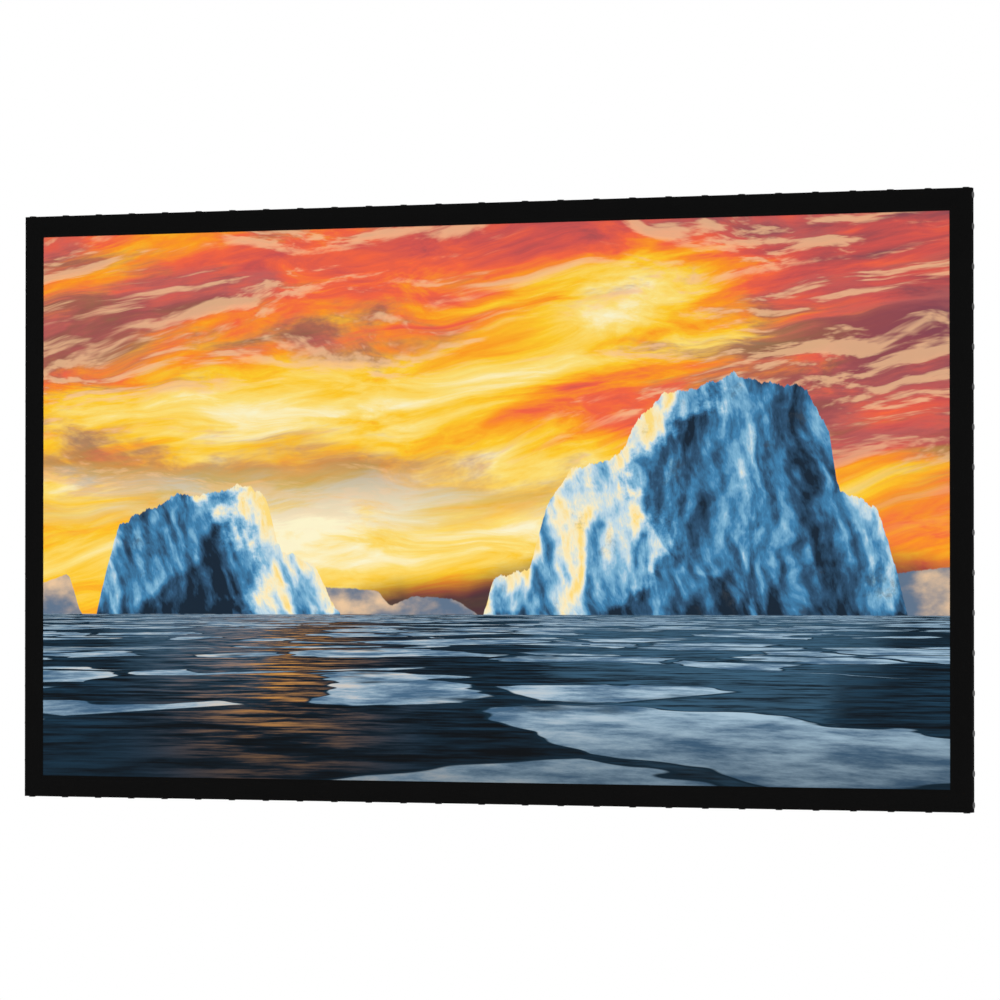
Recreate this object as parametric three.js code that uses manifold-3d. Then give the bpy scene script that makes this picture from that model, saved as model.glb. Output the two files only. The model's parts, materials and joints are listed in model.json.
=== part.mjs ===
// Fixed frame projector screen, 100 inch diagonal, 16:9, for hanging on a wall.
// Units are millimetres. +X is right, +Z is up, and the picture faces -Y.
// The origin is the centre of the hung screen, so the wall lies on its +Y side.

import * as THREE from 'three';
import { mergeVertices } from 'three/addons/utils/BufferGeometryUtils.js';
import Module from 'manifold-3d';

const wasm = await Module();
wasm.setup();

// Picture sheet
const VIEW_WIDTH = 2214;
const VIEW_HEIGHT = 1245;
const SHEET_THICKNESS = 0.4;
const SHEET_LAP = 7.25;
const LAP_CLEARANCE = 0.75;

// Border strips, folded over the front and the outer side of the rails
const STRIP_THICKNESS = 0.5;
const STRIP_FOLD_RADIUS = 1.5;

// Frame rails, a hollow extrusion with a channel for the press studs
const RAIL_WIDTH = 40;
const RAIL_DEPTH = 17.5;
const RAIL_WALL = 1.4;
const FOLD_CLEARANCE = 0.2;
const CHANNEL_DEPTH = 3.4;
const MITRE_CLEARANCE = 0.15;
const SPLICE_GAP = 0.3;
const SPLICE_BESIDE_MIDDLE = 30;

// Press studs: a post on the rail, and a cap with a socket on the strip
const POST_RADIUS = 2.6;
const SNAP_CLEARANCE = 0.4;
const SOCKET_WALL = 2;
const SOCKET_BASE = 0.3;
const SOCKET_END_CLEARANCE = 0.5;
const POST_TIP_CLEARANCE = 0.6;
const CHANNEL_CLEARANCE = 0.25;
const CAP_RADIUS = 7.5;
const CAP_HEIGHT = 2;
const CAP_RIM_HEIGHT = 1.5;
const STUD_FROM_RAIL_BACK = 7;

// Rows of press studs: one every pitch or so, with a closer one at an upright's corners
const STUD_PITCH = 86;
const ACROSS_STUD_FROM_MIDDLE = 106;
const ACROSS_STUD_FROM_CORNER = 14.5;
const UPRIGHT_STUD_FROM_MIDDLE = 70.25;
const UPRIGHT_STUD_FROM_CORNER = 15.5;
const UPRIGHT_LAST_STEP = 67.75;

// Corner keys and splice sleeves, which slide into the rails
const KEY_CLEARANCE = 0.3;
const KEY_LEG = 120;
const SLEEVE_END = 70;
const SLEEVE_WALL = 2;

// Centre brace and its T plates
const BRACE_WIDTH = 30;
const BRACE_DEPTH = 10;
const BRACE_WALL = 1.2;
const BRACE_END_CLEARANCE = 0.3;
const T_BAR_END = 30;
const T_BAR_WIDTH = 22;
const T_LEG_END = 16;
const T_LEG_WIDTH = 24;
const T_CORNER_RADIUS = 4;

// Hanging clips: folded steel, two on the frame and two for the wall
const STEEL_THICKNESS = 2;
const HOOK_CLEARANCE = 0.25;
const HOOK_SEAT_CLEARANCE = 0.3;
const WALL_CLEARANCE = 0.5;
const CLIP_FROM_CORNER = 577;
const CLIP_TOP = 14;
const FRAME_FLANGE = 12;
const HOOK_LENGTH = 10;
const HOOK_ROOM = 2;
const WALL_FLANGE = 20;
const CLIP_HOLE_SPACING = 50;
const CLIP_HOLE_FROM_END = 15;
const WALL_HOLE_RADIUS = 2.5;
const COUNTERSINK_RADIUS = 4;

// Rubber bumpers
const BUMPER_RADIUS = 10;
const BUMPER_CHAMFER = 1;
const BUMPER_FROM_CORNER = 55;

// Screws, all alike
const SCREW_RADIUS = 2;
const SCREW_LENGTH = 8;
const HEAD_RADIUS = 3.5;
const HEAD_HEIGHT = 2.2;
const HEAD_RIM_HEIGHT = 1.2;
const HEAD_TOP_RADIUS = 2.6;
const RECESS_SPAN = 3.6;
const RECESS_WIDTH = 0.9;
const RECESS_DEPTH = 1.2;
const SCREW_CLEARANCE = 0.2;
const KEY_SCREW_FROM_END = 25;
const SPLICE_SCREW_FROM_SPLICE = 50;
const BRACE_SCREW_FROM_END = 18;
const BRACE_SCREW_SPACING = 26;

// Facets of the round shapes
const CAP_SIDES = 8;
const SOCKET_SIDES = 6;
const SCREW_SIDES = 8;
const BUMPER_SIDES = 20;
const EDGE_STEPS = 2;

// Worked out from the sizes above. On each side of the frame, u runs inwards from the
// outer face of the border strip, and depth runs backwards from the front of the border.
const BORDER_WIDTH = STRIP_THICKNESS + RAIL_WIDTH + LAP_CLEARANCE + SHEET_LAP;
const WIDTH = VIEW_WIDTH + 2 * BORDER_WIDTH;
const HEIGHT = VIEW_HEIGHT + 2 * BORDER_WIDTH;
const RAIL_FRONT = STRIP_THICKNESS;
const RAIL_BACK = RAIL_FRONT + RAIL_DEPTH;
const RAIL_OUTER = STRIP_THICKNESS;
const RAIL_INNER = RAIL_OUTER + RAIL_WIDTH;
const RAIL_MIDDLE = (RAIL_OUTER + RAIL_INNER) / 2;
const CHANNEL_FLOOR = RAIL_OUTER + CHANNEL_DEPTH;
const HOLLOW_OUTER = CHANNEL_FLOOR + RAIL_WALL;
const HOLLOW_INNER = RAIL_INNER - RAIL_WALL;
const HOLLOW_FRONT = RAIL_FRONT + RAIL_WALL;
const HOLLOW_BACK = RAIL_BACK - RAIL_WALL;
const STUD_DEPTH = RAIL_BACK - STUD_FROM_RAIL_BACK;
const CAVITY_RADIUS = POST_RADIUS + SNAP_CLEARANCE;
const SOCKET_RADIUS = CAVITY_RADIUS + SOCKET_WALL;
const CHANNEL_HALF_WIDTH = SOCKET_RADIUS + CHANNEL_CLEARANCE;
const RAIL_EDGE_RADIUS = STRIP_FOLD_RADIUS - STRIP_THICKNESS + FOLD_CLEARANCE;
const CORNER_SCREW_FROM_CORNER = KEY_LEG - KEY_SCREW_FROM_END;
const SLEEVE_HALF_LENGTH = SPLICE_SCREW_FROM_SPLICE + SLEEVE_END;
const T_BAR_HALF_LENGTH = SPLICE_SCREW_FROM_SPLICE + T_BAR_END;
const BRACE_END = RAIL_INNER + BRACE_END_CLEARANCE;
const BRACE_SCREW_PLACES = [
  BRACE_END + BRACE_SCREW_FROM_END,
  BRACE_END + BRACE_SCREW_FROM_END + BRACE_SCREW_SPACING,
];
const T_LEG_BOTTOM = BRACE_SCREW_PLACES[1] + T_LEG_END;
const CLIP_HALF_WIDTH = CLIP_HOLE_SPACING / 2 + CLIP_HOLE_FROM_END;
const HOOK_FRONT = RAIL_BACK + STEEL_THICKNESS + 2 * HOOK_CLEARANCE;
const HOOK_BACK = HOOK_FRONT + STEEL_THICKNESS;
const WALL_DEPTH = HOOK_BACK + WALL_CLEARANCE;
const PLATE_BACK = RAIL_BACK + STEEL_THICKNESS;
const CLIP_HOLE_U = CLIP_TOP + FRAME_FLANGE / 2;
const HOOK_ROOT = CLIP_TOP + FRAME_FLANGE + STEEL_THICKNESS;
const WALL_CLIP_ROOT = HOOK_ROOT + HOOK_LENGTH + HOOK_ROOM;

// Colours and surfaces
const FINISHES = {
  sheet: { color: 0xf2f2f0, roughness: 0.9, metalness: 0 },
  border: { color: 0x101010, roughness: 0.95, metalness: 0 },
  rail: { color: 0x17181a, roughness: 0.5, metalness: 0.3 },
  nylon: { color: 0x202225, roughness: 0.7, metalness: 0 },
  sleeve: { color: 0xaab0b5, roughness: 0.4, metalness: 0.9 },
  zinc: { color: 0xb4b9bd, roughness: 0.35, metalness: 1 },
  rubber: { color: 0x141414, roughness: 0.95, metalness: 0 },
};

const AXIS_X = new THREE.Vector3(1, 0, 0);
const AXIS_Y = new THREE.Vector3(0, 1, 0);
const AXIS_Z = new THREE.Vector3(0, 0, 1);
const SECTION_ALONG_X = new THREE.Matrix4().makeBasis(AXIS_Y, AXIS_Z, AXIS_X);
const OUTLINE_ALONG_Y = new THREE.Matrix4().makeBasis(AXIS_X, AXIS_Z, AXIS_Y.clone().negate());

// A named piece with a material of its own
function piece(name, finish, geometry) {
  const mesh = new THREE.Mesh(geometry, new THREE.MeshStandardMaterial(FINISHES[finish]));
  mesh.name = name;
  return mesh;
}

// A closed solid from a geometry, without the flat triangles on a lathe's axis
function toSolid(geometry) {
  const bare = geometry.clone();
  bare.deleteAttribute('normal');
  bare.deleteAttribute('uv');
  const welded = mergeVertices(bare);
  const corners = welded.index.array;
  const kept = [];
  for (let i = 0; i < corners.length; i += 3) {
    const [a, b, c] = [corners[i], corners[i + 1], corners[i + 2]];
    if (a !== b && b !== c && c !== a) {
      kept.push(a, b, c);
    }
  }
  return new wasm.Manifold(new wasm.Mesh({
    numProp: 3,
    vertProperties: new Float32Array(welded.attributes.position.array),
    triVerts: new Uint32Array(kept),
  }));
}

// A geometry with added and removed shapes
function combined(base, added, removed) {
  let solid = toSolid(base);
  for (const shape of added) {
    solid = solid.add(toSolid(shape));
  }
  for (const shape of removed) {
    solid = solid.subtract(toSolid(shape));
  }
  const mesh = solid.getMesh();
  const geometry = new THREE.BufferGeometry();
  geometry.setAttribute('position', new THREE.BufferAttribute(new Float32Array(mesh.vertProperties), 3));
  geometry.setIndex(Array.from(mesh.triVerts));
  geometry.computeVertexNormals();
  return geometry;
}

function outline(points) {
  return new THREE.Shape(points.map(([x, y]) => new THREE.Vector2(x, y)));
}

// A section of depth and -u, drawn out along the side between two cuts
function bar(section, startCut, endCut) {
  const options = { depth: 1, bevelEnabled: false, curveSegments: EDGE_STEPS };
  const geometry = new THREE.ExtrudeGeometry(section, options);
  geometry.applyMatrix4(SECTION_ALONG_X);
  const position = geometry.attributes.position;
  for (let i = 0; i < position.count; i += 1) {
    const cut = position.getX(i) > 0.5 ? endCut : startCut;
    position.setX(i, cut(-position.getZ(i)));
  }
  return geometry;
}

// Cuts for a bar's ends: square, or mitred at 45 degrees
const squareCut = (x) => () => x;
const mitreStart = (length) => (u) => u + MITRE_CLEARANCE - length / 2;
const mitreEnd = (length) => (u) => length / 2 - u - MITRE_CLEARANCE;

// A flat outline of x and z, drawn out from one depth to another
function plate(shape, front, back) {
  const options = { depth: back - front, bevelEnabled: false, curveSegments: EDGE_STEPS };
  const geometry = new THREE.ExtrudeGeometry(shape, options);
  geometry.applyMatrix4(OUTLINE_ALONG_Y);
  geometry.translate(0, back, 0);
  return geometry;
}

// A turned shape from points of radius and depth, on the Y axis
function turned(points, sides) {
  return new THREE.LatheGeometry(points.map(([r, y]) => new THREE.Vector2(r, y)), sides);
}

function roundBar(radius, front, back, sides) {
  return turned([[0, front], [radius, front], [radius, back], [0, back]], sides);
}

// A round cutter along the depth, for a screw's clearance hole
function screwHole(x, u, front, back) {
  const cutter = roundBar(SCREW_RADIUS + SCREW_CLEARANCE, front, back, SCREW_SIDES);
  cutter.translate(x, 0, -u);
  return cutter;
}

// Places in even steps of about a stud's pitch
function evenPlaces(start, end) {
  const steps = Math.max(1, Math.round((end - start) / STUD_PITCH));
  return Array.from({ length: steps + 1 }, (_, i) => start + (i * (end - start)) / steps);
}

// Where the press studs stand along the top and the bottom, with one in the middle
function acrossStuds() {
  const half = evenPlaces(ACROSS_STUD_FROM_MIDDLE, WIDTH / 2 - ACROSS_STUD_FROM_CORNER);
  return [...half.map((x) => -x), 0, ...half];
}

// Where the press studs stand along the left and the right
function uprightStuds() {
  const last = HEIGHT / 2 - UPRIGHT_STUD_FROM_CORNER;
  const half = [...evenPlaces(UPRIGHT_STUD_FROM_MIDDLE, last - UPRIGHT_LAST_STEP), last];
  return [...half.map((x) => -x), ...half];
}

// The section of a border strip: a front leg, a fold and a side leg
function stripSection() {
  const fold = STRIP_FOLD_RADIUS;
  const section = new THREE.Shape();
  section.moveTo(0, -BORDER_WIDTH);
  section.lineTo(STRIP_THICKNESS, -BORDER_WIDTH);
  section.lineTo(STRIP_THICKNESS, -fold);
  section.absarc(fold, -fold, fold - STRIP_THICKNESS, Math.PI, Math.PI / 2, true);
  section.lineTo(RAIL_BACK, -STRIP_THICKNESS);
  section.lineTo(RAIL_BACK, 0);
  section.lineTo(fold, 0);
  section.absarc(fold, -fold, fold, Math.PI / 2, Math.PI, false);
  section.closePath();
  return section;
}

// A turned part of a press stud, from points of radius and height above the strip's outer face
function studPart(points, sides, x) {
  const part = turned(points, sides);
  part.rotateX(Math.PI / 2);
  part.translate(x, STUD_DEPTH, 0);
  return part;
}

// The crowned cap outside the strip, let into half its thickness
function studCap(x) {
  const root = -STRIP_THICKNESS / 2;
  const points = [
    [0, root],
    [CAP_RADIUS, root],
    [CAP_RADIUS, CAP_RIM_HEIGHT],
    [0, CAP_HEIGHT],
  ];
  return studPart(points, CAP_SIDES, x);
}

// The socket inside the strip, open towards the rail
function studSocket(x) {
  const base = -STRIP_THICKNESS - SOCKET_BASE;
  const end = SOCKET_END_CLEARANCE - CHANNEL_FLOOR;
  const root = -STRIP_THICKNESS / 2;
  const points = [
    [0, base],
    [CAVITY_RADIUS, base],
    [CAVITY_RADIUS, end],
    [SOCKET_RADIUS, end],
    [SOCKET_RADIUS, root],
    [0, root],
  ];
  return studPart(points, SOCKET_SIDES, x);
}

// A post that stands on the channel's floor and ends inside a socket
function studPost(x) {
  const foot = -CHANNEL_FLOOR - RAIL_WALL / 2;
  const tip = -STRIP_THICKNESS - SOCKET_BASE - POST_TIP_CLEARANCE;
  return studPart([[0, foot], [POST_RADIUS, foot], [POST_RADIUS, tip], [0, tip]], SOCKET_SIDES, x);
}

function borderStrip(side) {
  const body = bar(stripSection(), mitreStart(side.length), mitreEnd(side.length));
  const studs = side.studs.flatMap((x) => [studCap(x), studSocket(x)]);
  return piece(`border_strip_${side.name}`, 'border', combined(body, studs, []));
}

// The section of a rail: round outer edges, the stud channel and the hollow
function railSection() {
  const edge = RAIL_EDGE_RADIUS;
  const section = new THREE.Shape();
  section.moveTo(RAIL_FRONT, -RAIL_INNER);
  section.lineTo(RAIL_BACK, -RAIL_INNER);
  section.lineTo(RAIL_BACK, -RAIL_OUTER - edge);
  section.absarc(RAIL_BACK - edge, -RAIL_OUTER - edge, edge, 0, Math.PI / 2, false);
  section.lineTo(STUD_DEPTH + CHANNEL_HALF_WIDTH, -RAIL_OUTER);
  section.lineTo(STUD_DEPTH + CHANNEL_HALF_WIDTH, -CHANNEL_FLOOR);
  section.lineTo(STUD_DEPTH - CHANNEL_HALF_WIDTH, -CHANNEL_FLOOR);
  section.lineTo(STUD_DEPTH - CHANNEL_HALF_WIDTH, -RAIL_OUTER);
  section.lineTo(RAIL_FRONT + edge, -RAIL_OUTER);
  section.absarc(RAIL_FRONT + edge, -RAIL_OUTER - edge, edge, Math.PI / 2, Math.PI, false);
  section.closePath();
  section.holes.push(outline([
    [HOLLOW_FRONT, -HOLLOW_INNER],
    [HOLLOW_FRONT, -HOLLOW_OUTER],
    [HOLLOW_BACK, -HOLLOW_OUTER],
    [HOLLOW_BACK, -HOLLOW_INNER],
  ]));
  return section;
}

// Where the screws of one half of a side go through the rail's back wall
function railScrewPlaces(side) {
  const places = [
    [side.length / 2 - CORNER_SCREW_FROM_CORNER, RAIL_MIDDLE],
    [SPLICE_SCREW_FROM_SPLICE, RAIL_MIDDLE],
  ];
  if (side.hasClips) {
    const clip = side.length / 2 - CLIP_FROM_CORNER;
    places.push(...clipHolePlaces(clip).map((x) => [x, CLIP_HOLE_U]));
  }
  return places;
}

// One half of a side's rail. Its posts are those on its own side of the splice.
function rail(side, half, sign) {
  const splice = squareCut(side.splice + sign * (SPLICE_GAP / 2));
  const body = sign < 0
    ? bar(railSection(), mitreStart(side.length), splice)
    : bar(railSection(), splice, mitreEnd(side.length));
  const posts = side.studs.filter((x) => sign * (x - side.splice) > 0).map((x) => studPost(x));
  const holes = railScrewPlaces(side).map(([x, u]) => (
    screwHole(sign * x, u, HOLLOW_BACK - RAIL_WALL, RAIL_BACK + RAIL_WALL)
  ));
  return piece(`rail_${side.name}_${half}`, 'rail', combined(body, posts, holes));
}

// A sleeve inside both halves of a side, which holds the splice in line
function spliceSleeve(side) {
  const outerU = HOLLOW_OUTER + KEY_CLEARANCE;
  const innerU = HOLLOW_INNER - KEY_CLEARANCE;
  const front = HOLLOW_FRONT + KEY_CLEARANCE;
  const back = HOLLOW_BACK - KEY_CLEARANCE;
  const section = outline([[front, -innerU], [back, -innerU], [back, -outerU], [front, -outerU]]);
  section.holes.push(outline([
    [front + SLEEVE_WALL, -innerU + SLEEVE_WALL],
    [front + SLEEVE_WALL, -outerU - SLEEVE_WALL],
    [back - SLEEVE_WALL, -outerU - SLEEVE_WALL],
    [back - SLEEVE_WALL, -innerU + SLEEVE_WALL],
  ]));
  const body = bar(section, squareCut(-SLEEVE_HALF_LENGTH), squareCut(SLEEVE_HALF_LENGTH));
  const holes = [-1, 1].map((sign) => (
    screwHole(sign * SPLICE_SCREW_FROM_SPLICE, RAIL_MIDDLE, back - 2 * SLEEVE_WALL, back + SLEEVE_WALL)
  ));
  return piece(`splice_sleeve_${side.name}`, 'sleeve', combined(body, [], holes));
}

// An L-shaped key inside the two rails that meet at a corner, which lies at x and u of 0
function cornerKey(corner) {
  const near = HOLLOW_OUTER + KEY_CLEARANCE;
  const far = HOLLOW_INNER - KEY_CLEARANCE;
  const shape = outline([
    [near, -near],
    [near, -KEY_LEG],
    [far, -KEY_LEG],
    [far, -far],
    [KEY_LEG, -far],
    [KEY_LEG, -near],
  ]);
  const front = HOLLOW_FRONT + KEY_CLEARANCE;
  const back = HOLLOW_BACK - KEY_CLEARANCE;
  const holes = [
    screwHole(CORNER_SCREW_FROM_CORNER, RAIL_MIDDLE, front - KEY_CLEARANCE, back + KEY_CLEARANCE),
    screwHole(RAIL_MIDDLE, CORNER_SCREW_FROM_CORNER, front - KEY_CLEARANCE, back + KEY_CLEARANCE),
  ];
  return piece(`corner_key_${corner.name}`, 'nylon', combined(plate(shape, front, back), [], holes));
}

// A pan head screw with a cross recess, seated with its head behind the given depth
function screw(name, x, u, seat) {
  const body = turned([
    [0, -SCREW_LENGTH],
    [SCREW_RADIUS, -SCREW_LENGTH],
    [SCREW_RADIUS, 0],
    [HEAD_RADIUS, 0],
    [HEAD_RADIUS, HEAD_RIM_HEIGHT],
    [HEAD_TOP_RADIUS, HEAD_HEIGHT],
    [0, HEAD_HEIGHT],
  ], SCREW_SIDES);
  const slots = [
    new THREE.BoxGeometry(RECESS_SPAN, 2 * RECESS_DEPTH, RECESS_WIDTH),
    new THREE.BoxGeometry(RECESS_WIDTH, 2 * RECESS_DEPTH, RECESS_SPAN),
  ];
  slots.forEach((slot) => slot.translate(0, HEAD_HEIGHT, 0));
  const mesh = piece(name, 'zinc', combined(body, [], slots));
  mesh.position.set(x, seat, -u);
  return mesh;
}

// The T plate across a splice, with its leg on the brace
function tPlate(side) {
  const barTop = RAIL_MIDDLE - T_BAR_WIDTH / 2;
  const barBottom = RAIL_MIDDLE + T_BAR_WIDTH / 2;
  const r = T_CORNER_RADIUS;
  const half = T_BAR_HALF_LENGTH;
  const leg = T_LEG_WIDTH / 2;
  const shape = new THREE.Shape();
  shape.moveTo(-half + r, -barTop);
  shape.absarc(-half + r, -barTop - r, r, Math.PI / 2, Math.PI, false);
  shape.absarc(-half + r, -barBottom + r, r, Math.PI, 1.5 * Math.PI, false);
  shape.lineTo(-leg, -barBottom);
  shape.absarc(-leg + r, -T_LEG_BOTTOM + r, r, Math.PI, 1.5 * Math.PI, false);
  shape.absarc(leg - r, -T_LEG_BOTTOM + r, r, 1.5 * Math.PI, 2 * Math.PI, false);
  shape.lineTo(leg, -barBottom);
  shape.absarc(half - r, -barBottom + r, r, 1.5 * Math.PI, 2 * Math.PI, false);
  shape.absarc(half - r, -barTop - r, r, 0, Math.PI / 2, false);
  shape.closePath();
  const places = [
    [-SPLICE_SCREW_FROM_SPLICE, RAIL_MIDDLE],
    [SPLICE_SCREW_FROM_SPLICE, RAIL_MIDDLE],
    ...BRACE_SCREW_PLACES.map((u) => [0, u]),
  ];
  const holes = places.map(([x, u]) => (
    screwHole(x, u, RAIL_BACK - STEEL_THICKNESS, PLATE_BACK + STEEL_THICKNESS)
  ));
  return piece(`t_plate_${side.name}`, 'zinc', combined(plate(shape, RAIL_BACK, PLATE_BACK), [], holes));
}

// The upright tube behind the sheet, from the top rail to the bottom one
function centreBrace() {
  const front = RAIL_BACK - BRACE_DEPTH;
  const length = HEIGHT - 2 * BRACE_END;
  const half = BRACE_WIDTH / 2;
  const section = outline([[-half, front], [half, front], [half, RAIL_BACK], [-half, RAIL_BACK]]);
  section.holes.push(outline([
    [-half + BRACE_WALL, front + BRACE_WALL],
    [-half + BRACE_WALL, RAIL_BACK - BRACE_WALL],
    [half - BRACE_WALL, RAIL_BACK - BRACE_WALL],
    [half - BRACE_WALL, front + BRACE_WALL],
  ]));
  const body = new THREE.ExtrudeGeometry(section, { depth: length, bevelEnabled: false });
  body.translate(0, 0, -length / 2);
  const holes = [];
  for (const u of BRACE_SCREW_PLACES) {
    for (const sign of [-1, 1]) {
      const hole = screwHole(0, 0, RAIL_BACK - 2 * BRACE_WALL, RAIL_BACK + BRACE_WALL);
      hole.translate(0, 0, sign * (HEIGHT / 2 - u));
      holes.push(hole);
    }
  }
  return piece('centre_brace', 'rail', combined(body, [], holes));
}

// The clip on the frame: a flange on the rail, a step back and a hook that points down
function frameClip(name, x) {
  const section = outline([
    [RAIL_BACK, -CLIP_TOP],
    [RAIL_BACK, -HOOK_ROOT],
    [HOOK_FRONT, -HOOK_ROOT],
    [HOOK_FRONT, -HOOK_ROOT - HOOK_LENGTH],
    [HOOK_BACK, -HOOK_ROOT - HOOK_LENGTH],
    [HOOK_BACK, -HOOK_ROOT + STEEL_THICKNESS],
    [PLATE_BACK, -HOOK_ROOT + STEEL_THICKNESS],
    [PLATE_BACK, -CLIP_TOP],
  ]);
  const body = bar(section, squareCut(x - CLIP_HALF_WIDTH), squareCut(x + CLIP_HALF_WIDTH));
  const holes = clipHolePlaces(x).map((place) => (
    screwHole(place, CLIP_HOLE_U, RAIL_BACK - STEEL_THICKNESS, PLATE_BACK + STEEL_THICKNESS)
  ));
  return piece(name, 'zinc', combined(body, [], holes));
}

// The clip on the wall: a hook that points up, a step back and a flange with two holes
function wallClip(name, x) {
  const hookFront = RAIL_BACK + HOOK_CLEARANCE;
  const hookBack = hookFront + STEEL_THICKNESS;
  const hookTop = HOOK_ROOT + HOOK_SEAT_CLEARANCE;
  const flangeTop = WALL_CLIP_ROOT + STEEL_THICKNESS;
  const flangeFront = WALL_DEPTH - STEEL_THICKNESS;
  const section = outline([
    [hookFront, -hookTop],
    [hookFront, -flangeTop],
    [flangeFront, -flangeTop],
    [flangeFront, -flangeTop - WALL_FLANGE],
    [WALL_DEPTH, -flangeTop - WALL_FLANGE],
    [WALL_DEPTH, -WALL_CLIP_ROOT],
    [hookBack, -WALL_CLIP_ROOT],
    [hookBack, -hookTop],
  ]);
  const body = bar(section, squareCut(x - CLIP_HALF_WIDTH), squareCut(x + CLIP_HALF_WIDTH));
  const holes = clipHolePlaces(x).map((place) => {
    const cutter = turned([
      [0, flangeFront - STEEL_THICKNESS],
      [COUNTERSINK_RADIUS + STEEL_THICKNESS, flangeFront - STEEL_THICKNESS],
      [WALL_HOLE_RADIUS, flangeFront + COUNTERSINK_RADIUS - WALL_HOLE_RADIUS],
      [WALL_HOLE_RADIUS, WALL_DEPTH + STEEL_THICKNESS],
      [0, WALL_DEPTH + STEEL_THICKNESS],
    ], SCREW_SIDES);
    cutter.translate(place, 0, -flangeTop - WALL_FLANGE / 2);
    return cutter;
  });
  return piece(name, 'zinc', combined(body, [], holes));
}

function clipHolePlaces(x) {
  return [x - CLIP_HOLE_SPACING / 2, x + CLIP_HOLE_SPACING / 2];
}

// A rubber bumper between a rail's back and the wall
function bumper(name, x) {
  const body = turned([
    [0, RAIL_BACK],
    [BUMPER_RADIUS, RAIL_BACK],
    [BUMPER_RADIUS, WALL_DEPTH - BUMPER_CHAMFER],
    [BUMPER_RADIUS - BUMPER_CHAMFER, WALL_DEPTH],
    [0, WALL_DEPTH],
  ], BUMPER_SIDES);
  const mesh = piece(name, 'rubber', combined(body, [], []));
  mesh.position.set(x, 0, -RAIL_MIDDLE);
  return mesh;
}

// The white sheet, whose edges lie behind the border strips
function viewingSheet() {
  const halfWidth = VIEW_WIDTH / 2 + SHEET_LAP;
  const halfHeight = VIEW_HEIGHT / 2 + SHEET_LAP;
  const shape = outline([
    [-halfWidth, -halfHeight],
    [halfWidth, -halfHeight],
    [halfWidth, halfHeight],
    [-halfWidth, halfHeight],
  ]);
  const geometry = plate(shape, STRIP_THICKNESS, STRIP_THICKNESS + SHEET_THICKNESS);
  return piece('viewing_sheet', 'sheet', geometry);
}

// The four sides, clockwise as seen from the front. A side's first half is at its -X end.
// The top and the bottom are spliced beside their middle stud, so that its post has a whole rail.
const ACROSS = {
  length: WIDTH,
  reach: HEIGHT / 2,
  studs: acrossStuds(),
  splice: SPLICE_BESIDE_MIDDLE,
  hasPlate: true,
};
const UPRIGHT = { length: HEIGHT, reach: WIDTH / 2, studs: uprightStuds(), splice: 0, hasPlate: false };
const SIDES = [
  { ...ACROSS, name: 'top', halves: ['left', 'right'], hasClips: true },
  { ...UPRIGHT, name: 'right', halves: ['upper', 'lower'] },
  { ...ACROSS, name: 'bottom', halves: ['right', 'left'], hasBumpers: true },
  { ...UPRIGHT, name: 'left', halves: ['lower', 'upper'] },
];

// The corner at the -X end of each side
const CORNERS = [
  { name: 'top_left', x: -WIDTH / 2, z: HEIGHT / 2 },
  { name: 'top_right', x: WIDTH / 2, z: HEIGHT / 2 },
  { name: 'bottom_right', x: WIDTH / 2, z: -HEIGHT / 2 },
  { name: 'bottom_left', x: -WIDTH / 2, z: -HEIGHT / 2 },
];

// One side of the frame in its own group: x along the side, y backwards, z outwards
function sideGroup(side, index) {
  const group = new THREE.Group();
  group.add(borderStrip(side), spliceSleeve(side));
  side.halves.forEach((half, place) => {
    group.add(rail(side, half, place === 0 ? -1 : 1));
  });
  if (side.hasPlate) {
    group.add(tPlate(side));
    BRACE_SCREW_PLACES.forEach((u, place) => {
      group.add(screw(`screw_brace_${side.name}_${place + 1}`, 0, u, PLATE_BACK));
    });
  }
  side.halves.forEach((half, place) => {
    const x = (place === 0 ? -1 : 1) * SPLICE_SCREW_FROM_SPLICE;
    const seat = side.hasPlate ? PLATE_BACK : RAIL_BACK;
    group.add(screw(`screw_splice_${side.name}_${half}`, x, RAIL_MIDDLE, seat));
  });
  if (side.hasClips) {
    side.halves.forEach((half, place) => {
      const x = (place === 0 ? -1 : 1) * (side.length / 2 - CLIP_FROM_CORNER);
      group.add(frameClip(`frame_clip_${half}`, x), wallClip(`wall_clip_${half}`, x));
      clipHolePlaces(x).forEach((hole, number) => {
        group.add(screw(`screw_clip_${half}_${number + 1}`, hole, CLIP_HOLE_U, PLATE_BACK));
      });
    });
  }
  if (side.hasBumpers) {
    side.halves.forEach((half, place) => {
      const x = (place === 0 ? -1 : 1) * (side.length / 2 - BUMPER_FROM_CORNER);
      group.add(bumper(`bumper_${half}`, x));
    });
  }
  const turn = (index * Math.PI) / 2;
  group.position.set(Math.sin(turn) * side.reach, 0, Math.cos(turn) * side.reach);
  group.rotation.y = turn;
  return group;
}

// A corner's key with its two screws
function cornerGroup(corner, index) {
  const group = new THREE.Group();
  group.add(
    cornerKey(corner),
    screw(`screw_corner_${corner.name}_1`, CORNER_SCREW_FROM_CORNER, RAIL_MIDDLE, RAIL_BACK),
    screw(`screw_corner_${corner.name}_2`, RAIL_MIDDLE, CORNER_SCREW_FROM_CORNER, RAIL_BACK),
  );
  group.position.set(corner.x, 0, corner.z);
  group.rotation.y = (index * Math.PI) / 2;
  return group;
}

const screen = new THREE.Group();
screen.add(viewingSheet(), centreBrace());
SIDES.forEach((side, index) => screen.add(sideGroup(side, index)));
CORNERS.forEach((corner, index) => screen.add(cornerGroup(corner, index)));
screen.position.y = -WALL_DEPTH / 2;

export default screen;
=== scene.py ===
# The looks of a fixed frame projector screen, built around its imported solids.
# Lengths are metres, the screen faces -Y, +X is right and +Z is up.

import json
import logging
import math
from dataclasses import dataclass, field
from enum import Enum
from typing import Callable, Sequence, Union

import bmesh
import bpy
from mathutils import Matrix, Vector

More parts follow.
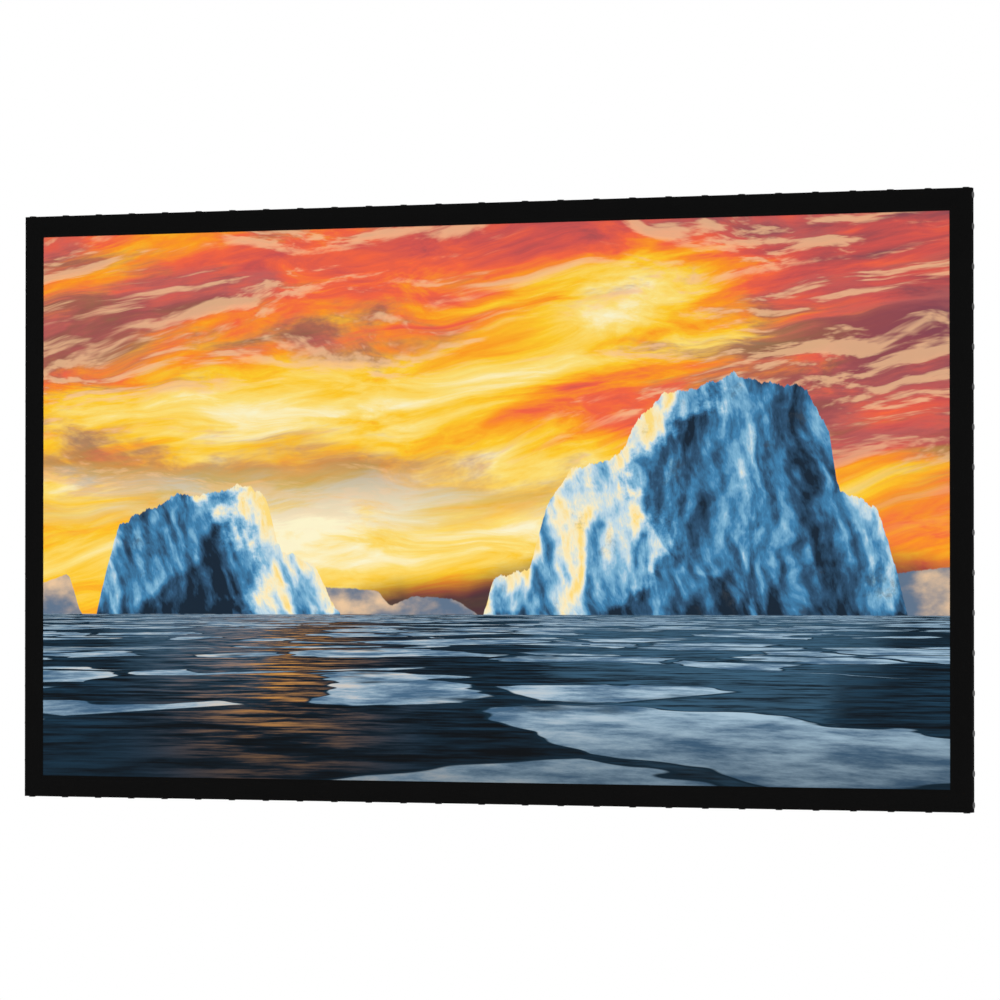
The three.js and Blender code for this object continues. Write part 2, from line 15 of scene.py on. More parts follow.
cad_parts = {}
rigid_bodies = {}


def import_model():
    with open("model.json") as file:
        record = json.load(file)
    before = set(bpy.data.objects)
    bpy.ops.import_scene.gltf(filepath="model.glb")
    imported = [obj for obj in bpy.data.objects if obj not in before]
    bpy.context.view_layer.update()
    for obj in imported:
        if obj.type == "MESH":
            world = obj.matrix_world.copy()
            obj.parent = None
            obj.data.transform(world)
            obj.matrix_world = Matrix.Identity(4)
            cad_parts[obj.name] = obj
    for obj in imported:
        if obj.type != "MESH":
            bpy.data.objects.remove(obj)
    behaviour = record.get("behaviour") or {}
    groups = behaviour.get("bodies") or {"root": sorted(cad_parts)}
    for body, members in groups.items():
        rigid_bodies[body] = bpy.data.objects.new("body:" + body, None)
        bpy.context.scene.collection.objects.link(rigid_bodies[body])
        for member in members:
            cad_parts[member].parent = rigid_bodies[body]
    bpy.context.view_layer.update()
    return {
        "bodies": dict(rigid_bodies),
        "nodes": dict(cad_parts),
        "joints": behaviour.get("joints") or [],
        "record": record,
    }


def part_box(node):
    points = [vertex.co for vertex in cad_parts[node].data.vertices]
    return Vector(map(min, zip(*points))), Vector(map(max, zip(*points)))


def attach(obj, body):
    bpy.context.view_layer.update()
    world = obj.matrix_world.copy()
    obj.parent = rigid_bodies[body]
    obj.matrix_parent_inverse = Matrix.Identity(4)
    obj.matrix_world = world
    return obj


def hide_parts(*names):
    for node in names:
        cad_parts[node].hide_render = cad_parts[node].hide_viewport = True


LOG = logging.getLogger("projector_screen")
MM = 0.001
BODY = "root"
SHARP_ANGLE = math.radians(35)
BEVEL_ANGLE = math.radians(40)
QUARTER = math.pi / 2

Point = tuple[float, float, float]
Flat = tuple[float, float]
Colour = tuple[float, float, float, float]
Stops = Sequence[tuple[float, Colour]]
Corner = Sequence[float]
Path = Sequence[Flat]
Piece = bpy.types.Object
Key = Union[int, str]
Value = Union["Wire", float]
Tint = Union["Wire", Colour]


def srgb(red: float, green: float, blue: float) -> Colour:
    """Turns display values from 0 to 255 into a linear colour.

    Args:
        red: the red value.
        green: the green value.
        blue: the blue value.

    Returns:
        The linear colour with an alpha of 1.
    """
    shares = [value / 255 for value in (red, green, blue)]
    return (*(s / 12.92 if s <= 0.04045 else ((s + 0.055) / 1.055) ** 2.4 for s in shares), 1.0)


def grey(value: float) -> Colour:
    """Returns a linear grey of one value."""
    return (value, value, value, 1.0)


# Shader maths


def operator(operation: str, reflected: bool = False) -> Callable[["Wire", Value], "Wire"]:
    """Makes the method behind one of Python's operators.

    Args:
        operation: the Math node's operation.
        reflected: whether the wire stands on the operator's right.

    Returns:
        A method that adds the Math node.
    """

    def method(wire: "Wire", other: Value) -> "Wire":
        """Returns the Math node's result."""
        return wire.math(operation, *((other, wire) if reflected else (wire, other)))

    return method


class Wire:
    """A shader socket on which Python's operators add Math nodes."""

    def __init__(self, graph: "Graph", socket: bpy.types.NodeSocket) -> None:
        """Keeps the socket and the graph that it belongs to."""
        self.graph = graph
        self.socket = socket

    def math(self, operation: str, first: Value, second: Value = 0.0) -> "Wire":
        """Returns the result of one Math node."""
        return self.graph.wire("ShaderNodeMath", {"operation": operation}, {0: first, 1: second})

    __add__ = operator("ADD")
    __radd__ = operator("ADD", reflected=True)
    __sub__ = operator("SUBTRACT")
    __rsub__ = operator("SUBTRACT", reflected=True)
    __mul__ = operator("MULTIPLY")
    __rmul__ = operator("MULTIPLY", reflected=True)
    __truediv__ = operator("DIVIDE")
    __rtruediv__ = operator("DIVIDE", reflected=True)
    __pow__ = operator("POWER")
    __rpow__ = operator("POWER", reflected=True)

    def larger(self, other: Value) -> "Wire":
        """Returns the larger of the two values."""
        return self.math("MAXIMUM", self, other)

    def size(self) -> "Wire":
        """Returns the value without its sign."""
        return self.math("ABSOLUTE", self)

    def ramped(self, low: Value, high: Value) -> "Wire":
        """Returns a smooth step from 0 at low to 1 at high."""
        settings = {"interpolation_type": "SMOOTHSTEP"}
        return self.graph.wire("ShaderNodeMapRange", settings, {0: self, 1: low, 2: high})

    def bell(self, width: float) -> "Wire":
        """Returns a bell curve of the value, 1 at 0 and low past the width."""
        return self.math("EXPONENT", (self / width) ** 2.0 * -1.0)


class Graph:
    """The node tree of one material or world."""

    def __init__(self, tree: bpy.types.NodeTree) -> None:
        """Empties the tree and keeps it."""
        tree.nodes.clear()
        self.tree = tree

    def node(self, kind: str, settings: dict[str, object], inputs: dict[Key, object]) -> bpy.types.Node:
        """Adds any node.

        Args:
            kind: the node's type.
            settings: its settings, set first; stops are the (position, colour) pairs of a ramp.
            inputs: values or wires by the socket's number or name.

        Returns:
            The new node.
        """
        node = self.tree.nodes.new(kind)
        for name, value in settings.items():
            if name == "stops":
                self._set_stops(node.color_ramp, value)
            else:
                setattr(node, name, value)
        for key, value in inputs.items():
            if isinstance(value, Wire):
                self.tree.links.new(value.socket, node.inputs[key])
            else:
                node.inputs[key].default_value = value
        return node

    @staticmethod
    def _set_stops(ramp: bpy.types.ColorRamp, stops: Stops) -> None:
        """Sets a ramp's stops from (position, colour) pairs in rising order."""
        while len(ramp.elements) < len(stops):
            ramp.elements.new(1.0)
        for element, (position, colour) in zip(ramp.elements, stops):
            element.position = position
            element.color = colour

    def wire(
        self, kind: str, settings: dict[str, object], inputs: dict[Key, object], output: Key = 0
    ) -> Wire:
        """Adds any node and returns one of its outputs, by number or name."""
        return Wire(self, self.node(kind, settings, inputs).outputs[output])

    def vector(self, x: Value, y: Value, z: Value = 0.0) -> Wire:
        """Returns a vector of three values."""
        return self.wire("ShaderNodeCombineXYZ", {}, {0: x, 1: y, 2: z})

    def place(self) -> Wire:
        """Returns the surface's place in the screen's frame."""
        return self.wire("ShaderNodeTexCoord", {}, {}, "Object")

    def axes(self, place: Wire) -> list[Wire]:
        """Returns the x, y and z of a place."""
        parts = self.node("ShaderNodeSeparateXYZ", {}, {0: place})
        return [Wire(self, socket) for socket in parts.outputs]

    def noise(
        self, where: Wire, scale: float, detail: float, roughness: float = 0.5, warp: float = 0.0
    ) -> Wire:
        """Adds a noise.

        Args:
            where: the place to read.
            scale: how many lumps there are in a unit.
            detail: the number of finer layers.
            roughness: the strength of the finer layers.
            warp: how much the noise bends itself.

        Returns:
            Its value, around 0.5.
        """
        numbers = {"Scale": scale, "Detail": detail, "Roughness": roughness, "Distortion": warp}
        return self.wire("ShaderNodeTexNoise", {"noise_dimensions": "3D"}, {"Vector": where, **numbers})

    def cell_edge(self, where: Wire, scale: float) -> Wire:
        """Returns the distance to the nearest edge of a pattern of cells."""
        settings = {"voronoi_dimensions": "3D", "feature": "DISTANCE_TO_EDGE"}
        return self.wire("ShaderNodeTexVoronoi", settings, {"Vector": where, "Scale": scale}, "Distance")

    def cell_tint(self, where: Wire, scale: float) -> Wire:
        """Returns a random value for each cell of a pattern."""
        settings = {"voronoi_dimensions": "3D", "feature": "F1"}
        colour = self.wire("ShaderNodeTexVoronoi", settings, {"Vector": where, "Scale": scale}, "Color")
        return self.wire("ShaderNodeSeparateColor", {}, {0: colour})

    def ramp(self, value: Value, stops: Stops) -> Wire:
        """Returns a ramp's colour at a value."""
        return self.wire("ShaderNodeValToRGB", {"stops": stops}, {0: value})

    def outline(self, value: Value, heights: Path) -> Wire:
        """Returns the height of a line of straight stretches, given as (place, height) pairs."""
        return self.ramp(value, [(place, grey(height)) for place, height in heights])

    def mix(self, share: Value, first: Tint, second: Tint, kind: str = "MIX") -> Wire:
        """Mixes two colours.

        Args:
            share: 0 for the first colour alone, and 1 for the second's full effect.
            first: the first colour.
            second: the second colour.
            kind: the Mix node's blend type.

        Returns:
            The mixed colour.
        """
        settings = {"data_type": "RGBA", "blend_type": kind, "clamp_factor": True}
        return self.wire("ShaderNodeMix", settings, {0: share, 6: first, 7: second}, 2)

    def bump(self, height: Wire, depth: float) -> Wire:
        """Returns a normal that shows the height, where depth is the relief's depth in metres."""
        return self.wire("ShaderNodeBump", {}, {"Height": height, "Distance": depth, "Strength": 1.0})

    def seen(self) -> Wire:
        """Returns 1 for what is seen, straight or by gloss or glass, and 0 for what lights the object."""
        seen = self.wire("ShaderNodeLightPath", {}, {}, "Is Camera Ray")
        for name in ("Is Glossy Ray", "Is Transmission Ray"):
            seen = seen.larger(self.wire("ShaderNodeLightPath", {}, {}, name))
        return seen

    def surface(self, inputs: dict[str, object]) -> None:
        """Ends the tree in a Principled shader with the given sockets."""
        shader = self.wire("ShaderNodeBsdfPrincipled", {}, inputs)
        self.node("ShaderNodeOutputMaterial", {}, {0: shader})


def new_material(name: str) -> tuple[bpy.types.Material, Graph]:
    """Returns a new material and its empty graph."""
    made = bpy.data.materials.new(name)
    made.use_nodes = True
    return made, Graph(made.node_tree)


# Finishes


class Grain(Enum):
    """The kinds of fine texture that a finish can have."""

    LUMPS = "lumps"
    BRUSHED = "brushed"
    SPANGLE = "spangle"


@dataclass(frozen=True)
class Finish:
    """One plain finish with a fine grain and slight variation of tone.

    Attributes:
        name: the material's name.
        slot: the record's material slot; it is not used.
        colour: its linear colour.
        roughness: its mean roughness.
        metallic: 1 for bare metal.
        specular: the shader's specular level.
        spread: how much the tone varies slowly, as a share.
        grain_spread: how much the tone varies from grain to grain.
        rough_spread: how much the roughness varies.
        grain: the kind of grain.
        grain_size: the width of a lump of grain.
        grain_depth: the depth of the grain's relief.
        patch_size: the width of the slow variation of tone.
    """

    name: str
    slot: str
    colour: Colour
    roughness: float
    metallic: float = 0.0
    specular: float = 0.5
    spread: float = 0.15
    grain_spread: float = 0.14
    rough_spread: float = 0.08
    grain: Grain = Grain.LUMPS
    grain_size: float = 0.8 * MM
    grain_depth: float = 0.02 * MM
    patch_size: float = 60 * MM

    def material(self) -> bpy.types.Material:
        """Returns the finish's material, made once."""
        made = bpy.data.materials.get(self.name)
        if made:
            return made
        made, graph = new_material(self.name)
        place = graph.place()
        fine = self._fine(graph, place)
        slow = graph.noise(place, 1 / self.patch_size, 3.0, 0.55) - 0.5
        grain = fine - 0.5
        tone = slow * (self.spread * 2.0) + grain * self.grain_spread + 1.0
        rough = slow * (self.rough_spread * 2.0) + grain * self.rough_spread + self.roughness
        graph.surface(
            {
                "Base Color": graph.mix(1.0, self.colour, graph.vector(tone, tone, tone), "MULTIPLY"),
                "Roughness": rough,
                "Metallic": self.metallic,
                "Specular IOR Level": self.specular,
                "Normal": graph.bump(fine, self.grain_depth),
            }
        )
        return made

    def _fine(self, graph: Graph, place: Wire) -> Wire:
        """Returns the fine grain's height at each place."""
        scale = 1 / self.grain_size
        if self.grain is Grain.BRUSHED:
            stretch = 0.04
            x, y, z = graph.axes(place)
            return graph.noise(graph.vector(x * stretch, y, z), scale, 2.0, 0.6)
        lumps = graph.noise(place, scale, 3.0, 0.6)
        if self.grain is Grain.SPANGLE:
            crystals = graph.cell_tint(place, scale / 4)
            return lumps * 0.6 + crystals * 0.4
        return lumps

    def put_on(self, piece: Piece) -> None:
        """Makes this the piece's only material."""
        piece.data.materials.clear()
        piece.data.materials.append(self.material())


BORDER = Finish(
    "matte_black_border", "black_border", grey(0.0046), 0.92, specular=0.012, spread=0.1, grain_spread=2.2,
    rough_spread=0.04, grain_size=0.9 * MM, grain_depth=0.05 * MM, patch_size=90 * MM,
)
SHEET_BACK = Finish(
    "sheet_back", "projection_sheet", grey(0.62), 0.7, specular=0.25, spread=0.03,
    rough_spread=0.05, grain_size=0.6 * MM, grain_depth=0.02 * MM, patch_size=200 * MM,
)
CAP_METAL = Finish(
    "dark_cap_metal", "zinc_steel", grey(0.055), 0.52, metallic=0.6, specular=0.3, spread=0.1,
    grain_size=0.4 * MM, grain_depth=0.006 * MM, patch_size=8 * MM,
)
POWDER_COAT = Finish(
    "black_powder_coat", "coated_aluminium", (0.0105, 0.011, 0.0122, 1.0), 0.46, specular=0.4,
    spread=0.16, grain_size=0.7 * MM, grain_depth=0.035 * MM, patch_size=70 * MM,
)
MILL_ALUMINIUM = Finish(
    "mill_aluminium", "mill_aluminium", (0.6, 0.61, 0.62, 1.0), 0.38, metallic=1.0, spread=0.06,
    grain=Grain.BRUSHED, grain_size=0.5 * MM, grain_depth=0.01 * MM, patch_size=40 * MM,
)
NYLON = Finish(
    "black_nylon", "black_nylon", (0.021, 0.021, 0.023, 1.0), 0.55, specular=0.4,
    grain_size=0.5 * MM, grain_depth=0.03 * MM, patch_size=30 * MM,
)
ZINC_SHEET = Finish(
    "zinc_plated_sheet", "zinc_steel", (0.52, 0.53, 0.55, 1.0), 0.36, metallic=1.0, spread=0.1,
    grain=Grain.SPANGLE, grain_size=0.6 * MM, grain_depth=0.008 * MM, patch_size=14 * MM,
)
ZINC_SCREW = Finish(
    "zinc_plated_screw", "zinc_screw", (0.5, 0.51, 0.53, 1.0), 0.32, metallic=1.0, spread=0.08,
    grain_size=0.3 * MM, grain_depth=0.004 * MM, patch_size=3 * MM,
)
RUBBER = Finish(
    "black_rubber", "black_rubber", (0.013, 0.013, 0.013, 1.0), 0.85, specular=0.3,
    grain_size=0.4 * MM, grain_depth=0.03 * MM, patch_size=10 * MM,
)


# The picture thrown on the sheet


@dataclass(frozen=True)
class IceMass:
    """One near mass of ice in the picture.

    Attributes:
        seed: the seed of its broken edge.
        ridge: u of the ridge between its sunny and its shaded side.
        side: 1 where the sunny side is on the left, and -1 where it is on the right.
        top: the corners of its top, as (u, v) pairs.
    """

    seed: float
    ridge: float
    side: float
    top: tuple[Flat, ...]


@dataclass(frozen=True)
class IceSunset:
    """A generic picture of drifting ice under a sunset, in fields of colour.

    Over the picture, u runs from 0 at the left to 1 at the right, and v from 0 at the foot to 1 at the top.

    Attributes:
        width: the picture's width.
        height: the picture's height.
        waterline: v of the horizon.
        sun: u and v of the brightest glow.
        roughness: the sheet's mean roughness.
        specular: the sheet's specular level.
        weave: the width of a lump of the sheet's texture.
        weave_depth: the depth of that texture.
    """

    width: float
    height: float
    waterline: float = 0.30
    sun: Flat = (0.27, 0.50)
    roughness: float = 0.8
    specular: float = 0.08
    weave: float = 0.5 * MM
    weave_depth: float = 0.01 * MM

    # The sky, from its darkest cloud to its brightest light
    SKY = (
        (0.00, srgb(44, 42, 58)),
        (0.13, srgb(92, 56, 66)),
        (0.27, srgb(146, 76, 84)),
        (0.40, srgb(212, 86, 80)),
        (0.52, srgb(246, 102, 66)),
        (0.63, srgb(254, 152, 34)),
        (0.75, srgb(255, 202, 44)),
        (0.87, srgb(255, 224, 120)),
        (1.00, srgb(255, 246, 206)),
    )
    # The sky's light at each height
    SKY_LIGHT = (
        (0.30, 0.60), (0.38, 0.70), (0.47, 0.80), (0.56, 0.76),
        (0.63, 0.63), (0.72, 0.53), (0.86, 0.52), (1.00, 0.48),
    )
    # Ice, from deep shade to full sun, and the tops of its masses as (u, v) corners
    ICE = (
        (0.00, srgb(22, 38, 54)),
        (0.20, srgb(48, 84, 116)),
        (0.38, srgb(66, 132, 178)),
        (0.54, srgb(128, 182, 214)),
        (0.68, srgb(196, 220, 232)),
        (0.82, srgb(250, 238, 200)),
        (1.00, srgb(255, 222, 130)),
    )
    FAR_ICE = (
        (0.00, 0.36), (0.03, 0.375), (0.045, 0.30), (0.30, 0.30), (0.315, 0.352), (0.385, 0.345),
        (0.40, 0.318), (0.43, 0.335), (0.47, 0.33), (0.50, 0.30), (0.90, 0.30), (0.915, 0.37),
        (1.00, 0.385),
    )
    RIGHT_ICE = IceMass(
        1.7, 0.69, 1.0,
        (
            (0.00, 0.28), (0.50, 0.28), (0.515, 0.36), (0.555, 0.385), (0.575, 0.50), (0.60, 0.56),
            (0.655, 0.585), (0.675, 0.655), (0.70, 0.69), (0.775, 0.72), (0.85, 0.70), (0.875, 0.62),
            (0.885, 0.52), (0.925, 0.49), (0.945, 0.38), (0.96, 0.28),
        ),
    )
    LEFT_ICE = IceMass(
        6.3, 0.2, -1.0,
        (
            (0.00, 0.28), (0.06, 0.28), (0.078, 0.40), (0.09, 0.47), (0.155, 0.515), (0.24, 0.535),
            (0.262, 0.50), (0.275, 0.42), (0.315, 0.395), (0.335, 0.33), (0.35, 0.28), (1.00, 0.28),
        ),
    )

    def material(self) -> bpy.types.Material:
        """Returns the material of the sheet's front with the picture on it."""
        made, graph = new_material("sheet_front")
        place = graph.place()
        x, _, z = graph.axes(place)
        u = x / self.width + 0.5
        v = z / self.height + 0.5
        fine = graph.noise(place, 1 / self.weave, 2.0, 0.6)
        graph.surface(
            {
                "Base Color": self._sea(self._ice(self._sky(u, v), u, v), u, v),
                "Roughness": self.roughness + (fine - 0.5) * 0.1,
                "Specular IOR Level": self.specular,
                "Normal": graph.bump(fine, self.weave_depth),
            }
        )
        return made

    def _noise(self, u: Wire, v: Wire, stretch: Flat, seed: float, *numbers: float) -> Wire:
        """Adds a noise over the picture.

        Args:
            u: the place across.
            v: the place up.
            stretch: how much finer it is across and up.
            seed: the place of its slice.
            numbers: its scale, detail, roughness and warp, as Graph.noise takes them.

        Returns:
            Its value, around 0.5.
        """
        across, up = stretch
        where = u.graph.vector(u * (across * self.width / self.height), v * up, seed)
        return u.graph.noise(where, *numbers)

    def _sky(self, u: Wire, v: Wire) -> Wire:
        """Returns the sky's colour: streaks of cloud over a low band of light."""
        graph = u.graph
        bend = self._noise(u, v, (1.1, 2.0), 3.7, 1.6, 3.0) - 0.5
        sweep = v - u * 0.16 + bend * 0.16
        large = self._noise(u + bend * 0.12, sweep, (0.8, 3.4), 1.3, 1.9, 7.0, 0.56, 0.5) - 0.5
        wisps = self._noise(u + bend * 0.3, sweep, (1.5, 7.5), 8.1, 2.3, 6.5, 0.62, 0.9)
        low_glow = (u - self.sun[0]).bell(0.306) * (v - self.sun[1]).bell(0.3) * 0.2
        high_glow = (u - 0.66).bell(0.16) * (v - 0.83).bell(0.12) * 0.28
        dusk = u.ramped(0.72, 1.05) * 0.12
        light = graph.outline(v, self.SKY_LIGHT) + low_glow + high_glow - dusk
        colour = graph.ramp(light + large * 1.15 + (wisps - 0.5) * 0.62, self.SKY)
        colour = self._clouds(colour, u + bend * 0.2, sweep, v, wisps)
        bank_edge = (self._noise(u, v, (1.0, 0.4), 5.9, 2.2, 5.0) - 0.5) * 0.16
        bank_top = 0.475 + bank_edge - (u - 0.78).size() * 0.34
        bank = (bank_top - v).ramped(-0.012, 0.05)
        dark = graph.mix(wisps.ramped(0.42, 0.62), srgb(40, 42, 58), srgb(112, 60, 60))
        return graph.mix(bank * 0.94, colour, dark)

    def _clouds(self, sky: Wire, u: Wire, sweep: Wire, v: Wire, wisps: Wire) -> Wire:
        """Adds long mauve clouds that are lit along their lower edges.

        Args:
            sky: the sky behind.
            u: the bent place across.
            sweep: the bent place up.
            v: the place up.
            wisps: the sky's fine streaks.

        Returns:
            The sky with the clouds.
        """
        graph = u.graph
        edge = 0.012

        def cover(up: Wire) -> Wire:
            """Returns how thick the cloud is at a height."""
            return self._noise(u, up, (0.95, 4.6), 11.3, 1.55, 6.0, 0.6, 0.45) + (wisps - 0.5) * 0.22

        here = cover(sweep)
        below = cover(sweep - edge)
        high = v.ramped(0.40, 0.66)
        thick = here.ramped(0.46, 0.58) * high
        lit = (here - below).ramped(0.0, 0.05) * here.ramped(0.42, 0.50) * high
        shade = graph.mix((here + wisps * 0.3).ramped(0.58, 0.84), srgb(206, 108, 100), srgb(112, 68, 84))
        sky = graph.mix(thick * 0.82, sky, shade)
        return graph.mix(lit * 0.6, sky, srgb(255, 206, 156))

    def _top(self, u: Wire, corners: Path, rough: float, seed: float) -> Wire:
        """Returns the height of one mass of ice, with a broken edge."""
        broken = u.graph.noise(u.graph.vector(u * 46.0, seed), 1.0, 5.0, 0.7) - 0.5
        return u.graph.outline(u, corners) + broken * rough

    def _ice(self, behind: Wire, u: Wire, v: Wire) -> Wire:
        """Returns the picture with the far and the near masses of ice on it."""
        graph = u.graph
        far = self._top(u, self.FAR_ICE, 0.016, 2.2)
        far_tone = self._noise(u, v, (6.0, 9.0), 2.0, 2.0, 5.0).ramped(0.35, 0.7)
        haze = graph.mix(far_tone, srgb(96, 116, 140), srgb(236, 200, 160))
        picture = graph.mix((far - v).ramped(0.0, 0.003), behind, haze)
        facing = self._facing(u, v)
        for mass in (self.RIGHT_ICE, self.LEFT_ICE):
            picture = self._mass(picture, u, v, mass, facing)
        return picture

    def _facing(self, u: Wire, v: Wire) -> Wire:
        """Returns how much the broken ice faces the light, around 0."""
        seed, reach = 4.1, 0.0045
        bend = self._noise(u, v, (3.0, 2.4), seed, 1.5, 3.0) - 0.5

        def height(at_u: Wire, at_v: Wire) -> Wire:
            """Returns the height of the ice towards the eye."""
            lean = at_u + at_v * 0.12 + bend * 0.06
            large = self._noise(lean, at_v, (2.6, 1.5), seed, 1.5, 2.0, 0.4) - 0.5
            small = self._noise(lean, at_v, (6.2, 3.4), seed + 3.0, 1.5, 5.0, 0.55) - 0.5
            fine = self._noise(lean, at_v, (9.0, 3.0), seed + 9.0, 2.6, 5.0, 0.66)
            return large.size() * -3.2 + small.size() * -1.1 + fine * 0.34

        return (height(u - reach, v + reach) - height(u + reach, v - reach)) * -2.6

    def _mass(self, behind: Wire, u: Wire, v: Wire, mass: IceMass, facing: Wire) -> Wire:
        """Adds one near mass of ice.

        Args:
            behind: the picture so far.
            u: the place across.
            v: the place up.
            mass: the mass of ice.
            facing: how much each place faces the light.

        Returns:
            The picture with the mass on it.
        """
        graph = u.graph
        top = self._top(u, mass.top, 0.05, mass.seed)
        lean = self._noise(u, v, (3.0, 3.6), mass.seed, 1.6, 6.0, 0.6) - 0.5
        fold = (mass.ridge - u) * mass.side + (v - 0.5) * 0.24 + lean * 0.3
        sunny = fold.ramped(-0.01, 0.03)
        height = (v - self.waterline) / (top - self.waterline).larger(0.02)
        foot = (0.16 - height).ramped(0.0, 0.16) * 0.16
        crest = height.ramped(0.4, 1.0) * sunny * 0.14
        level = 0.25 + facing * 0.8 + sunny * 0.34 + height * 0.1 + crest - foot
        dirt = self._noise(u, v, (7.0, 6.0), mass.seed + 4, 1.7, 6.0, 0.7).ramped(0.6, 0.72) * 0.55
        colour = graph.mix(dirt * (1.0 - sunny * 0.4), graph.ramp(level, self.ICE), srgb(58, 66, 74))
        return graph.mix((top - v).ramped(0.0, 0.0025), behind, colour)

    def _sea(self, above: Wire, u: Wire, v: Wire) -> Wire:
        """Returns the picture with the dark sea and its floes under the waterline."""
        graph = u.graph
        drop = (self.waterline - v).larger(0.0) + 0.018
        back = 0.405 / drop
        along = (u - 0.5) * back
        ripples = graph.noise(graph.vector(along, back * 3.0, 7.7), 5.0, 6.0, 0.62)
        water = graph.mix(ripples.ramped(0.35, 0.75), srgb(7, 12, 17), srgb(30, 62, 84))
        shine = (u - self.sun[0]).bell(0.085) * ripples.ramped(0.47, 0.68)
        water = graph.mix(shine * (1.0 - drop * 2.6), water, srgb(255, 176, 66))
        shown = self._mirrored(u, v, ripples - 0.5) * ripples.ramped(0.3, 0.6) * 0.5
        water = graph.mix(shown * (1.0 - drop * 1.5), water, srgb(86, 132, 164))
        picture = self._floes(water, u, along, back)
        foreground = (1.0 - v.ramped(0.0, 0.16)) * 0.45
        picture = graph.mix(foreground, picture, srgb(8, 12, 16))
        return graph.mix((self.waterline - v).ramped(-0.001, 0.001), above, picture)

    def _mirrored(self, u: Wire, v: Wire, torn: Wire) -> Wire:
        """Returns where the near ice is mirrored in the sea, torn by its ripples."""
        across = u + torn * 0.16
        up = self.waterline * 2.0 - v + torn * 0.09
        right, left = (u.graph.outline(across, mass.top) for mass in (self.RIGHT_ICE, self.LEFT_ICE))
        return (right.larger(left) - 0.05 - up).ramped(-0.04, 0.16)

    def _floes(self, water: Wire, u: Wire, along: Wire, back: Wire) -> Wire:
        """Adds flat floes with snow on them.

        Args:
            water: the open sea.
            u: the place across.
            along: the place along the sea's surface.
            back: the place back over the sea's surface.

        Returns:
            The sea with the floes.
        """
        graph = u.graph
        flat_place = graph.vector(along, back, 0.4)
        swell = graph.noise(flat_place, 0.9, 4.0, 0.6)
        shift = (graph.noise(flat_place, 1.7, 3.0) - 0.5) * 0.9
        floe_place = graph.vector(along + shift, back * 1.25 + shift, 2.5)
        edge = graph.cell_edge(floe_place, 1.15)
        chance = graph.cell_tint(floe_place, 1.15)
        kept = chance.ramped(0.34, 0.36) * (swell + chance * 0.2).ramped(0.47, 0.55)
        snow = graph.noise(graph.vector(along, back, 4.4), 3.6, 7.0, 0.68)
        plate = graph.mix(snow.ramped(0.36, 0.66), srgb(70, 104, 134), srgb(176, 206, 226))
        warm = (u - self.sun[0]).bell(0.3) * snow.ramped(0.5, 0.7) * 0.5
        plate = graph.mix(warm, plate, srgb(255, 208, 150))
        picture = graph.mix(edge.ramped(0.02, 0.045) * kept, water, srgb(18, 44, 60))
        return graph.mix(edge.ramped(0.045, 0.06) * kept * 0.92, picture, plate)


# Meshes


def shade(mesh: bpy.types.Mesh) -> None:
    """Shades a mesh smooth between its sharp edges."""
    mesh.shade_smooth()
    mesh.set_sharp_from_angle(angle=SHARP_ANGLE)


class Shape:
    """Collects a mesh's points and faces."""

    def __init__(self) -> None:
        """Starts with no points."""
        self.points: list[Point] = []
        self.faces: list[tuple[int, ...]] = []

    def ring(self, points: Sequence[Point]) -> list[int]:
        """Adds points and returns their numbers."""
        first = len(self.points)
        self.points.extend(tuple(point) for point in points)
        return list(range(first, first + len(points)))

    def join(self, first: Sequence[int], second: Sequence[int]) -> None:
        """Adds a closed band of faces between two rings of the same length."""
        count = len(first)
        for i in range(count):
            after = (i + 1) % count
            self.faces.append((first[i], first[after], second[after], second[i]))

    def fan(self, ring: Sequence[int], middle: Point, outward: bool) -> None:
        """Closes a ring with a fan of faces to a middle point."""
        centre = self.ring([middle])[0]
        for a, b in zip(ring, [*ring[1:], ring[0]]):
            self.faces.append((a, b, centre) if outward else (b, a, centre))

    def face(self, ring: Sequence[int]) -> None:
        """Adds one face."""
        self.faces.append(tuple(ring))

    def cap_ends(self, first: Sequence[int], last: Sequence[int]) -> None:
        """Closes both ends of a run of rings, each with one face."""
        self.face(first[::-1])
        self.face(last)

    def turned(self, profile: Path, place: Matrix, sides: int) -> None:
        """Adds a turned body.

        Args:
            profile: (radius, height) points from the axis to the axis, the lower end first.
            place: from the body's own frame, whose Z is its axis.
            sides: how many sides it has.
        """
        rings = []
        for radius, height in profile[1:-1]:
            ring = []
            for i in range(sides):
                angle = 2 * math.pi * i / sides
                ring.append(place @ Vector((radius * math.cos(angle), radius * math.sin(angle), height)))
            rings.append(self.ring(ring))
        for lower, upper in zip(rings, rings[1:]):
            self.join(lower, upper)
        self.fan(rings[0], place @ Vector((0, 0, profile[0][1])), False)
        self.fan(rings[-1], place @ Vector((0, 0, profile[-1][1])), True)

    def make(self, name: str, smooth: bool = True) -> Piece:
        """Returns a new object with this mesh."""
        mesh = bpy.data.meshes.new(name)
        mesh.from_pydata(self.points, [], self.faces)
        mesh.validate()
        if smooth:
            shade(mesh)
        piece = bpy.data.objects.new(name, mesh)
        bpy.context.collection.objects.link(piece)
        return piece


def arc(centre: Flat, radius: float, start: float, end: float, steps: int) -> list[Flat]:
    """Divides an arc.

    Args:
        centre: its centre.
        radius: its radius.
        start: its first angle in degrees.
        end: its last angle in degrees.
        steps: how many stretches it has.

    Returns:
        Its points, both ends included.
    """
    angles = [math.radians(start + (end - start) * i / steps) for i in range(steps + 1)]
    return [(centre[0] + radius * math.cos(a), centre[1] + radius * math.sin(a)) for a in angles]


